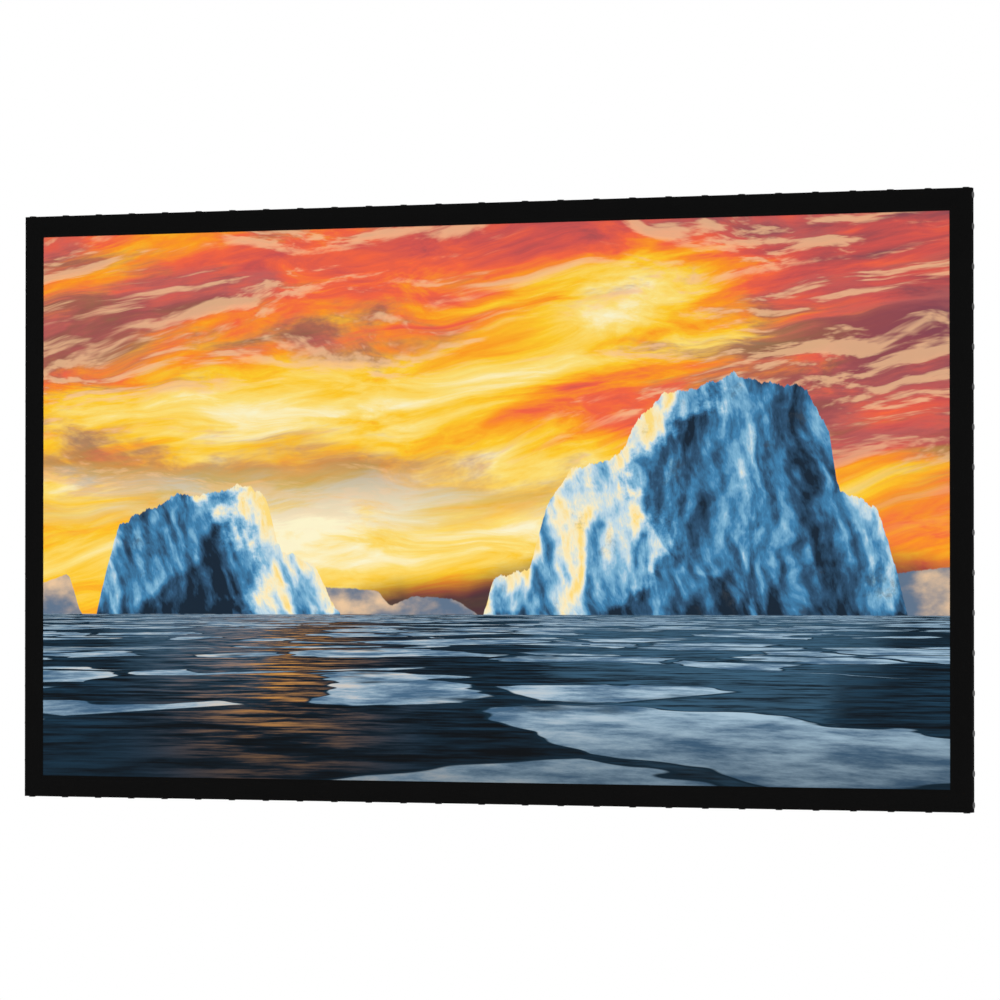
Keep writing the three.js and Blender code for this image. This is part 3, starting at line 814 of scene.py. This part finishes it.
def add_piece(piece: Piece, finish: Finish, nodes: Sequence[str] = ()) -> None:
    """Dresses a new piece, puts it on the body and hides the nodes that it replaces.

    Args:
        piece: the new piece.
        finish: its finish.
        nodes: the names of the nodes that it replaces.
    """
    if not piece.data.materials:
        finish.put_on(piece)
    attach(piece, BODY)
    if nodes:
        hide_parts(*nodes)
    LOG.info("%s: %d faces", piece.name, len(piece.data.polygons))


def soften(piece: Piece, width: float) -> None:
    """Rounds a piece's sharp edges by a bevel."""
    bevel = piece.modifiers.new("edges", "BEVEL")
    bevel.width = width
    bevel.segments = 2
    bevel.limit_method = "ANGLE"
    bevel.angle_limit = BEVEL_ANGLE
    bevel.harden_normals = False


def cut(piece: Piece, cutters: Sequence[Piece]) -> None:
    """Cuts shapes out of a piece and removes the cutters."""
    for cutter in cutters:
        boolean = piece.modifiers.new("cut", "BOOLEAN")
        boolean.operation = "DIFFERENCE"
        boolean.solver = "EXACT"
        boolean.object = cutter
    bpy.context.view_layer.update()
    evaluated = piece.evaluated_get(bpy.context.evaluated_depsgraph_get())
    old = piece.data
    piece.data = bpy.data.meshes.new_from_object(evaluated)
    piece.data.name = old.name
    piece.modifiers.clear()
    bpy.data.meshes.remove(old)
    for cutter in cutters:
        bpy.data.objects.remove(cutter)


# The screen's sides


@dataclass(frozen=True)
class StudRow:
    """Where the press studs stand along a side, as the frame has them.

    Attributes:
        from_middle: from the side's middle to the nearest stud of either half.
        from_corner: from the outer corner to the last stud.
        last_step: the last step, where it isn't an even one.
        in_middle: whether there is a stud in the middle too.
        pitch: the aim for the even steps.
    """

    from_middle: float
    from_corner: float
    last_step: float = 0.0
    in_middle: bool = False
    pitch: float = 86 * MM

    def places(self, length: float) -> list[float]:
        """Returns the studs' places along a side of some length, from its middle."""
        last = length / 2 - self.from_corner
        even = last - self.last_step - self.from_middle
        steps = max(1, round(even / self.pitch))
        half = [self.from_middle + i * even / steps for i in range(steps + 1)]
        if self.last_step:
            half.append(last)
        middle = [0.0] if self.in_middle else []
        return [-place for place in reversed(half)] + middle + half


ACROSS_STUDS = StudRow(106 * MM, 14.5 * MM, in_middle=True)
UPRIGHT_STUDS = StudRow(70.25 * MM, 15.5 * MM, last_step=67.75 * MM)


@dataclass(frozen=True)
class Side:
    """One side of the frame, with its own frame of x along it, y backwards and z outwards.

    Attributes:
        name: top, right, bottom or left.
        length: the side's outer length.
        reach: from the screen's centre to its outer face.
        turn: its quarter turns, clockwise from the top as seen from the front.
        front: y of the border's front face.
        halves: the names of the halves at its -x and +x ends.
        studs: its row of press studs.
    """

    name: str
    length: float
    reach: float
    turn: int
    front: float
    halves: tuple[str, str]
    studs: StudRow

    def stud_places(self) -> list[float]:
        """Returns where the side's studs stand, from its middle."""
        return self.studs.places(self.length)

    def frame(self) -> Matrix:
        """Returns the matrix from the side's frame to the screen's."""
        spin = Matrix.Rotation(self.turn * QUARTER, 4, "Y")
        return spin @ Matrix.Translation((0, self.front, self.reach))

    def rails(self) -> list[str]:
        """Returns the names of the side's two rails."""
        return [f"rail_{self.name}_{half}" for half in self.halves]


@dataclass
class Outline:
    """The screen's main sizes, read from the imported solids.

    Attributes:
        strip: the border strips' thickness.
        half_width: from the screen's centre to its right face.
        half_height: from the screen's centre to its top face.
        front: y of the border's front face.
        rail_back: y of the rails' back face.
        border: the border's width.
        view_width: the picture's width.
        view_height: the picture's height.
        lap: how far the sheet reaches behind the border.
    """

    strip: float = 0.5 * MM
    half_width: float = field(init=False)
    half_height: float = field(init=False)
    front: float = field(init=False)
    rail_back: float = field(init=False)
    border: float = field(init=False)
    view_width: float = field(init=False)
    view_height: float = field(init=False)
    lap: float = field(init=False)

    def __post_init__(self) -> None:
        """Reads the boxes of the rails, the sheet and the strips."""
        rail_low, rail_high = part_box("rail_right_upper")
        self.half_width = rail_high[0] + self.strip
        self.half_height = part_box("rail_top_left")[1][2] + self.strip
        self.front = rail_low[1] - self.strip
        self.rail_back = rail_high[1]
        self.border = self.half_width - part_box("border_strip_right")[0][0]
        self.view_width = 2 * (self.half_width - self.border)
        self.view_height = 2 * (self.half_height - self.border)
        self.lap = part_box("viewing_sheet")[1][0] - self.view_width / 2

    @property
    def depth(self) -> float:
        """Returns the depth from the border's front face to the rails' back."""
        return self.rail_back - self.front

    def sides(self) -> list[Side]:
        """Returns the four sides, clockwise from the top."""
        across = (2 * self.half_width, self.half_height)
        upright = (2 * self.half_height, self.half_width)
        return [
            Side("top", *across, 0, self.front, ("left", "right"), ACROSS_STUDS),
            Side("right", *upright, 1, self.front, ("upper", "lower"), UPRIGHT_STUDS),
            Side("bottom", *across, 2, self.front, ("right", "left"), ACROSS_STUDS),
            Side("left", *upright, 3, self.front, ("lower", "upper"), UPRIGHT_STUDS),
        ]


@dataclass
class ViewingSheet:
    """The white sheet, taut behind the border, with a picture thrown on its front.

    Attributes:
        outline: the screen's main sizes.
        columns: how many columns of faces it has.
        rows: how many rows of faces it has.
        wave: the height of the slight waves in the taut sheet.
    """

    outline: Outline
    columns: int = 64
    rows: int = 36
    wave: float = 0.12 * MM

    def build(self) -> None:
        low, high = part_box("viewing_sheet")
        shape = Shape()
        front = self._grid(shape, low, high, low[1])
        back = self._grid(shape, low, high, high[1])
        for row in range(self.rows):
            for column in range(self.columns):
                for grid, order in ((front, 1), (back, -1)):
                    foot, head = grid[row][column : column + 2], grid[row + 1][column : column + 2]
                    shape.face((foot + head[::-1])[::order])
        shape.join(self._rim(back), self._rim(front))
        piece = shape.make("viewing_sheet_taut")
        picture = IceSunset(self.outline.view_width, self.outline.view_height)
        piece.data.materials.append(SHEET_BACK.material())
        piece.data.materials.append(picture.material())
        for face in piece.data.polygons:
            if face.normal.y < -0.5:
                face.material_index = 1
        add_piece(piece, SHEET_BACK, ["viewing_sheet"])
        strips = [f"border_strip_{side.name}" for side in self.outline.sides()]

    def _grid(self, shape: Shape, low: Corner, high: Corner, y: float) -> list[list[int]]:
        """Adds one face of the sheet as rows of points and returns their numbers."""
        rows = []
        for row in range(self.rows + 1):
            points = []
            for column in range(self.columns + 1):
                s, t = column / self.columns, row / self.rows
                x = low[0] + (high[0] - low[0]) * s
                z = low[2] + (high[2] - low[2]) * t
                calm = math.sin(math.pi * s) * math.sin(math.pi * t)
                wave = calm * math.sin(5 * math.pi * s + 2 * t) * math.cos(3 * math.pi * t + s)
                points.append((x, y + self.wave * wave, z))
            rows.append(shape.ring(points))
        return rows

    @staticmethod
    def _rim(rows: list[list[int]]) -> list[int]:
        """Returns the edge of one face of the sheet, counter-clockwise from the front."""
        right = [row[-1] for row in rows[1:]]
        left = [row[0] for row in rows[1:-1]]
        return rows[0] + right + rows[-1][-2::-1] + left[::-1]


@dataclass
class BorderStrips:
    """The four black strips, folded over the rails, and the press studs that hold them.

    Attributes:
        outline: the screen's main sizes.
        fold: the outer radius of the fold.
        mitre: half the gap between two strips at a corner.
        lift: how far the side leg's free edge stands off between two studs.
        weld: how deep the welded seam's line is.
        weld_half: half the width of that line.
        step: the spacing of the sections along a strip.
        cap_radius: the radius of a cap.
        cap_rim: the height of a cap's rim over the strip.
        cap_height: the height of a cap's crown over the strip.
        cap_roll: the radius of a cap's rolled rim.
        cap_from_back: from the rail's back to the middle of a cap.
        socket_bore: the inner radius of a socket.
        socket_radius: the outer radius of a socket.
        socket_end: how far a socket's end lies behind the strip's inner face.
        cap_sides: how many sides a cap has.
        socket_sides: how many sides a socket has.
        clearance: between the strip and what is pressed against it.
    """

    outline: Outline
    fold: float = 1.5 * MM
    mitre: float = 0.03 * MM
    lift: float = 0.1 * MM
    weld: float = 0.12 * MM
    weld_half: float = 0.4 * MM
    step: float = 16 * MM
    cap_radius: float = 7.5 * MM
    cap_rim: float = 1.8 * MM
    cap_height: float = 1.86 * MM
    cap_roll: float = 0.3 * MM
    cap_from_back: float = 7 * MM
    socket_bore: float = 3.0 * MM
    socket_radius: float = 5.0 * MM
    socket_end: float = 2.9 * MM
    cap_sides: int = 28
    socket_sides: int = 20
    clearance: float = 0.02 * MM

    def build(self) -> None:
        """Makes the strips and their caps, side by side."""
        for side in self.outline.sides():
            strip = self._strip(side)
            caps = self._caps(side)
            add_piece(strip, BORDER, [f"border_strip_{side.name}"])
            add_piece(caps, CAP_METAL)
            side.rails()

    def _section(self) -> list[Flat]:
        """Returns the strip's section as (depth, outward) points."""
        strip = self.outline.strip
        inner = -self.outline.border
        centre = (self.fold, -self.fold)
        seam = inner + self.outline.lap
        stretches = 5
        length = self.outline.depth - self.fold
        leg = [self.fold + length * i / stretches for i in range(1, stretches + 1)]
        points = [(0.0, inner), (strip, inner), (strip, seam)]
        points += arc(centre, self.fold - strip, 180, 90, 8)
        points += [(depth, -strip) for depth in leg]
        points += [(depth, 0.0) for depth in reversed(leg)]
        points += arc(centre, self.fold, 90, 180, 8)
        points += [(0.0, seam + self.weld_half), (self.weld, seam), (0.0, seam - self.weld_half)]
        return points

    def _strip(self, side: Side) -> Piece:
        """Returns one strip."""
        frame = side.frame()
        places = side.stud_places()
        count = math.ceil(side.length / self.step)
        shape = Shape()
        rings = []
        for i in range(count + 1):
            ring = []
            for depth, outward in self._section():
                half = side.length / 2 + outward - self.mitre
                x = half * (2 * i / count - 1)
                share = max(0.0, (depth - self.fold) / (self.outline.depth - self.fold))
                on_side = outward > -1.5 * self.outline.strip
                rise = self._rise(x, places) * share * share if on_side else 0.0
                ring.append(frame @ Vector((x, depth, outward + rise)))
            rings.append(shape.ring(ring))
        for first, second in zip(rings, rings[1:]):
            shape.join(first, second)
        shape.cap_ends(rings[0], rings[-1])
        return shape.make(f"border_strip_{side.name}_folded")

    def _rise(self, x: float, places: Sequence[float]) -> float:
        """Returns how far the free edge stands off the rail at a place between two studs."""
        for before, after in zip(places, places[1:]):
            if before <= x <= after:
                share = (x - before) / (after - before)
                return self.lift * math.sin(math.pi * share) ** 2
        return 0.0

    def _caps(self, side: Side) -> Piece:
        """Returns the caps of one side with their sockets behind the strip."""
        depth = self.outline.depth - self.cap_from_back
        shape = Shape()
        for x in side.stud_places():
            place = side.frame() @ Matrix.Translation((x, depth, 0))
            shape.turned(self._cap_profile(), place, self.cap_sides)
            shape.turned(self._socket_profile(), place, self.socket_sides)
        return shape.make(f"snap_caps_{side.name}")

    def _cap_profile(self) -> list[Flat]:
        """Returns the cap's profile: a rolled rim around a low crown with a shallow dish."""
        r, crown, rim, roll = self.cap_radius, self.cap_height, self.cap_rim, self.cap_roll
        neck = r - 0.7 * MM
        under = rim - 1.4 * MM
        points = [(0.0, self.clearance), (neck, self.clearance), (neck, under)]
        points += [(r - 0.1 * MM, under), (r, under + 0.2 * MM)]
        points += arc((r - roll, rim - roll), roll, 0, 90, 5)
        points += [(r * 0.8, rim + 0.03 * MM), (r * 0.6, crown - 0.01 * MM), (r * 0.42, crown)]
        points += [(r * 0.3, crown - 0.04 * MM), (r * 0.22, crown - 0.2 * MM), (0.0, crown - 0.26 * MM)]
        return points

    def _socket_profile(self) -> list[Flat]:
        """Returns the profile of the socket inside the channel, open towards the rail."""
        face = -self.outline.strip
        base = face - 0.3 * MM
        end = face - self.socket_end
        bore, outer = self.socket_bore, self.socket_radius
        points = [(0.0, base), (bore, base), (bore, end), (bore + 0.4 * MM, end - 0.05 * MM)]
        points += [(outer - self.cap_roll, end), (outer, end + self.cap_roll)]
        points += [(outer, face - self.clearance), (0.0, face - self.clearance)]
        return points


@dataclass
class Fasteners:
    """The pan head screws, which replace the plain ones of the frame.

    Attributes:
        shank: the shank's radius.
        length: the shank's length.
        head: the head's radius.
        height: the head's height.
        threads: how many threads are shown.
        recess: the span of the cross recess.
        recess_foot: the height of its foot over the head's seat.
        blade: half the thickness of one of its blades.
        merge: how close two points are merged after the recess is cut.
        sides: how many sides a screw has.
        turn_step: how far each screw is turned past the one before, in degrees.
    """

    shank: float = 2.0 * MM
    length: float = 8.0 * MM
    head: float = 3.5 * MM
    height: float = 2.2 * MM
    threads: int = 9
    recess: float = 3.8 * MM
    recess_foot: float = 0.8 * MM
    blade: float = 0.45 * MM
    merge: float = 0.004 * MM
    sides: int = 32
    turn_step: float = 37

    def build(self, names: Sequence[str]) -> None:
        """Makes one screw and sets a copy of it at each of the named nodes."""
        mesh = self._mesh()
        for index, name in enumerate(sorted(names)):
            low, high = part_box(name)
            piece = bpy.data.objects.new(f"{name}_pan_head", mesh.copy())
            seat = Vector(((low[0] + high[0]) / 2, low[1] + self.length, (low[2] + high[2]) / 2))
            spin = Matrix.Rotation(math.radians(index * self.turn_step % 90), 4, "Y")
            piece.data.transform(Matrix.Translation(seat) @ spin)
            bpy.context.collection.objects.link(piece)
            add_piece(piece, ZINC_SCREW, [name])
        bpy.data.meshes.remove(mesh)

    def _mesh(self) -> bpy.types.Mesh:
        """Returns the screw's mesh, seated at 0 with its head towards +Y."""
        core, head = self.shank * 0.84, self.head
        tip, runout = 0.3 * MM, 0.9 * MM
        pitch = (self.length - tip - runout) / self.threads
        profile = [(0.0, -self.length), (self.shank * 0.7, -self.length)]
        for i in range(self.threads):
            low = -self.length + tip + i * pitch
            profile += [(core, low), (self.shank, low + pitch * 0.5)]
        profile += [(core, -0.6 * MM), (self.shank * 0.9, 0.0), (head - 0.1 * MM, 0.0)]
        profile += [(head, 0.15 * MM), (head, 1.0 * MM), (head * 0.96, 1.45 * MM)]
        profile += [(head * 0.84, 1.85 * MM), (head * 0.6, 2.1 * MM), (0.0, self.height)]
        shape = Shape()
        shape.turned(profile, Matrix.Rotation(-QUARTER, 4, "X"), self.sides)
        screw = shape.make("screw_pattern")
        cut(screw, [self._blade(0.0), self._blade(QUARTER)])
        mesh = screw.data
        bpy.data.objects.remove(screw)
        self._clean(mesh)
        shade(mesh)
        return mesh

    def _clean(self, mesh: bpy.types.Mesh) -> None:
        """Merges the points that the cut left almost in one place."""
        work = bmesh.new()
        work.from_mesh(mesh)
        bmesh.ops.remove_doubles(work, verts=work.verts, dist=self.merge)
        bmesh.ops.dissolve_degenerate(work, edges=work.edges, dist=self.merge / 2)
        bmesh.ops.triangulate(work, faces=[face for face in work.faces if len(face.verts) > 4])
        work.to_mesh(mesh)
        work.free()

    def _blade(self, angle: float) -> Piece:
        """Returns one tapered blade of the cross recess."""
        spin = Matrix.Rotation(angle, 4, "Y")
        foot = (self.recess_foot, self.recess * 0.28, self.blade * 0.7)
        head = (self.height + 0.5 * MM, self.recess / 2, self.blade)
        shape = Shape()
        rings = []
        for y, reach, half in (foot, head):
            corners = [(-reach, y, half), (reach, y, half), (reach, y, -half), (-reach, y, -half)]
            rings.append(shape.ring([spin @ Vector(corner) for corner in corners]))
        shape.join(*rings)
        shape.cap_ends(*rings)
        return shape.make("blade", smooth=False)


@dataclass
class HangingClips:
    """The four clips, folded from steel strip: two on the top rail and two for the wall.

    Attributes:
        thickness: the steel's thickness.
        bend: the radius of a bend at the middle of the steel.
        edge: the radius of the strip's worn edges.
        hook_drop: how far a frame clip's hook hangs below its web.
        wall_flange: the height of a wall clip's flange.
        hole_spacing: between a clip's two holes.
        frame_hole: the radius of a frame clip's hole.
        wall_hole: the radius of a wall clip's hole.
        countersink: the radius of a wall clip's hole at its front.
        hole_sides: how many sides a hole has.
    """

    thickness: float = 2.0 * MM
    bend: float = 1.22 * MM
    edge: float = 0.25 * MM
    hook_drop: float = 10 * MM
    wall_flange: float = 20 * MM
    hole_spacing: float = 50 * MM
    frame_hole: float = 2.2 * MM
    wall_hole: float = 2.5 * MM
    countersink: float = 4.0 * MM
    hole_sides: int = 32

    def build(self) -> None:
        """Makes the clips from the places of their nodes."""
        for half in ("left", "right"):
            name = f"frame_clip_{half}"
            low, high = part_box(name)
            flange = (low[2] + self.hook_drop + self.thickness, high[2])
            self._clip(name, low[2] + self.hook_drop, flange, self.frame_hole, self.frame_hole)
            name = f"wall_clip_{half}"
            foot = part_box(name)[0][2]
            web = foot + self.wall_flange
            self._clip(name, web, (foot, web), self.countersink, self.wall_hole)

    def _clip(self, name: str, web: float, flange: Flat, wide: float, narrow: float) -> None:
        """Makes one clip: a flange, a web and a hook, folded along a path of (y, z) corners.

        Args:
            name: the node that it replaces.
            web: z of the web's lower face.
            flange: z of the flange's foot and top.
            wide: the radius of a hole at its front.
            narrow: the radius of a hole at its back.
        """
        low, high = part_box(name)
        half = self.thickness / 2
        inner, outer, web = low[1] + half, high[1] - half, web + half
        line = self._rounded([(inner, high[2]), (inner, web), (outer, web), (outer, low[2])])
        near, far = [], []
        for i, point in enumerate(line):
            before, after = line[max(i - 1, 0)], line[min(i + 1, len(line) - 1)]
            along = Vector((after[0] - before[0], after[1] - before[1])).normalized()
            across = Vector((-along.y, along.x)) * half
            near.append((point[0] - across.x, point[1] - across.y))
            far.append((point[0] + across.x, point[1] + across.y))
        shape = Shape()
        ends = [shape.ring([(x, y, z) for y, z in near + far[::-1]]) for x in (low[0], high[0])]
        shape.join(*ends)
        shape.cap_ends(*ends)
        piece = shape.make(f"{name}_folded")
        cut(piece, self._holes(low, high, sum(flange) / 2, wide, narrow))
        shade(piece.data)
        soften(piece, self.edge)
        add_piece(piece, ZINC_SHEET, [name])

    def _holes(
        self, low: Corner, high: Corner, z: float, wide: float, narrow: float
    ) -> list[Piece]:
        """Returns cutters for a clip's two holes, wide at the front and narrow at the back."""
        past = 3 * MM
        start, end = low[1] - past, high[1] + past
        taper = [(narrow, low[1])]
        if wide > narrow:
            front = high[1] - self.thickness
            taper = [(wide, front), (narrow, front + wide - narrow)]
        cutters = []
        for side in (-1, 1):
            x = (low[0] + high[0]) / 2 + side * self.hole_spacing / 2
            place = Matrix.Translation((x, 0, z)) @ Matrix.Rotation(-QUARTER, 4, "X")
            shape = Shape()
            profile = [(0.0, start), (wide, start), *taper, (narrow, end), (0.0, end)]
            shape.turned(profile, place, self.hole_sides)
            cutters.append(shape.make("hole", smooth=False))
        return cutters

    def _rounded(self, path: Path) -> list[Flat]:
        """Returns the path with an arc at each inner corner."""
        steps = 6
        line = [path[0]]
        for before, corner, after in zip(path, path[1:], path[2:]):
            point = Vector(corner)
            start, end = (point + (Vector(to) - point).normalized() * self.bend for to in (before, after))
            centre = start + end - point
            for i in range(steps + 1):
                chord = start.lerp(end, i / steps) - centre
                line.append(tuple(centre + chord.normalized() * self.bend))
        return [*line, path[-1]]


@dataclass
class Bumpers:
    """The rubber bumpers at the foot of the frame.

    Attributes:
        edge: the radius of their round edge.
        dimple: the depth of the moulded dimple in their face.
        sides: how many sides they have.
    """

    edge: float = 1.2 * MM
    dimple: float = 0.6 * MM
    sides: int = 56

    def build(self) -> None:
        """Makes a rounded bumper at each node."""
        for half in ("left", "right"):
            name = f"bumper_{half}"
            low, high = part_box(name)
            radius = (high[0] - low[0]) / 2
            depth = high[1] - low[1]
            centre = ((low[0] + high[0]) / 2, low[1], (low[2] + high[2]) / 2)
            profile = [(0.0, 0.0), (radius * 0.98, 0.0), (radius, 0.3 * MM)]
            profile += arc((radius - self.edge, depth - self.edge), self.edge, 0, 90, 6)
            profile += [(radius * 0.42, depth), (radius * 0.36, depth - 0.5 * MM)]
            profile += [(0.0, depth - self.dimple)]
            shape = Shape()
            place = Matrix.Translation(centre) @ Matrix.Rotation(-QUARTER, 4, "X")
            shape.turned(profile, place, self.sides)
            add_piece(shape.make(f"{name}_moulded"), RUBBER, [name])


@dataclass
class FrameParts:
    """The solids whose shape is kept, and their finishes.

    Attributes:
        edge: the radius of their soft edges.
        finishes: the finish for each start of a node's name.
    """

    edge: float = 0.3 * MM
    finishes: dict[str, Finish] = field(
        default_factory=lambda: {
            "rail_": POWDER_COAT,
            "centre_brace": POWDER_COAT,
            "splice_sleeve_": MILL_ALUMINIUM,
            "corner_key_": NYLON,
            "t_plate_": ZINC_SHEET,
        }
    )

    def dress(self, names: Sequence[str]) -> None:
        """Gives each kept node its finish and soft edges."""
        for name in sorted(names):
            for start, finish in self.finishes.items():
                if name.startswith(start):
                    piece = bpy.data.objects[name]
                    for slot in piece.material_slots:
                        slot.link = "OBJECT"
                        slot.material = finish.material()
                    soften(piece, self.edge)
                    LOG.info("%s: %s", name, finish.name)


@dataclass
class Studio:
    """The floor, the lamps, the white background and the camera.

    Attributes:
        outline: the screen's main sizes.
        azimuth: the camera's angle to the right of the screen's axis, in degrees.
        distance: from the screen to the camera.
        aside: how far the camera's aim lies right of the screen's centre.
        height: the camera's height over the screen's centre.
        pitch: how far the camera looks up, in degrees.
        lens: the focal length in millimetres.
        sensor: the sensor's width in millimetres.
        floor_drop: from the screen's foot to the floor.
        floor_radius: the radius of the floor.
        floor_tone: the floor's tone.
        fade: where the floor starts and ends to fade into white, as shares of its radius.
        ambient: the strength of the light from all sides.
        key: the strength of the front lamp.
        back: the strength of the lamp behind.
        tilt: how far the lamps lean from straight down, in degrees.
        lamp_size: how wide the lamps look from the screen, in degrees.
    """

    outline: Outline
    azimuth: float = 23.964
    distance: float = 12.0506
    aside: float = 0.04967
    height: float = -0.18647
    pitch: float = 0.9185
    lens: float = 194.768
    sensor: float = 36
    floor_drop: float = 0.75
    floor_radius: float = 3.6
    floor_tone: float = 0.86
    fade: Flat = (0.45, 0.97)
    ambient: float = 0.62
    key: float = 1.72
    back: float = 0.7
    tilt: float = 50
    lamp_size: float = 28

    def camera(self) -> None:
        """Sets the camera at the photograph's viewing angle."""
        data = bpy.data.cameras.new("camera")
        data.lens = self.lens
        data.sensor_width = self.sensor
        data.clip_end = 200
        camera = bpy.data.objects.new("camera", data)
        angle = math.radians(self.azimuth)
        camera.location = (
            self.distance * math.sin(angle) + self.aside,
            self.outline.front - self.distance * math.cos(angle),
            self.height,
        )
        camera.rotation_euler = (math.radians(90 + self.pitch), 0, angle)
        bpy.context.collection.objects.link(camera)
        bpy.context.scene.camera = camera

    def lamp(self, name: str, strength: float, turn: float) -> None:
        """Hangs one soft lamp, turned by some degrees about the upright axis."""
        data = bpy.data.lights.new(name, "SUN")
        data.energy = strength
        data.angle = math.radians(self.lamp_size)
        lamp = bpy.data.objects.new(name, data)
        lamp.rotation_euler = (math.radians(self.tilt), 0, math.radians(turn))
        bpy.context.collection.objects.link(lamp)

    def background(self) -> None:
        """Lights the object from all sides, and shows white behind it."""
        world = bpy.data.worlds.new("studio")
        world.use_nodes = True
        bpy.context.scene.world = world
        graph = Graph(world.node_tree)
        light = graph.wire("ShaderNodeBackground", {}, {0: grey(1.0), 1: self.ambient})
        white = graph.wire("ShaderNodeBackground", {}, {0: grey(1.0), 1: 1.0})
        mixed = graph.wire("ShaderNodeMixShader", {}, {0: graph.seen(), 1: light, 2: white})
        graph.node("ShaderNodeOutputWorld", {}, {0: mixed})

    def floor(self) -> None:
        """Lays a pale round floor that fades into the white background."""
        radius, half_sides = self.floor_radius, 48
        level = -self.outline.half_height - self.floor_drop
        angles = [math.pi * i / half_sides for i in range(2 * half_sides)]
        shape = Shape()
        ring = shape.ring([(radius * math.cos(a), radius * math.sin(a), level) for a in angles])
        shape.fan(ring, (0.0, 0.0, level), True)
        floor = shape.make("floor")
        material, graph = new_material("pale_floor")
        x, y, _ = graph.axes(graph.place())
        near, far = ((radius * share) ** 2 for share in self.fade)
        faded = (x * x + y * y).ramped(near, far)
        pale = graph.wire("ShaderNodeBsdfDiffuse", {}, {0: grey(self.floor_tone)})
        white = graph.wire("ShaderNodeEmission", {}, {0: grey(1.0), 1: 1.0})
        mixed = graph.wire("ShaderNodeMixShader", {}, {0: faded * graph.seen(), 1: pale, 2: white})
        graph.node("ShaderNodeOutputMaterial", {}, {0: mixed})
        floor.data.materials.append(material)

    def build(self) -> None:
        """Sets up the whole studio."""
        self.camera()
        self.lamp("front_lamp", self.key, 48)
        self.lamp("back_lamp", self.back, 205)
        self.background()
        self.floor()
        bpy.context.scene.view_settings.view_transform = "Standard"


def main() -> None:
    """Builds the dressed screen, one sub-assembly after another."""
    logging.basicConfig(level=logging.INFO, format="%(message)s")
    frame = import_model()
    outline = Outline()
    names = [str(name) for name in frame["nodes"]]
    Studio(outline).build()
    BorderStrips(outline).build()
    ViewingSheet(outline).build()
    FrameParts().dress(names)
    HangingClips().build()
    Bumpers().build()
    Fasteners().build([name for name in names if name.startswith("screw_")])


if __name__ == "__main__":
    main()
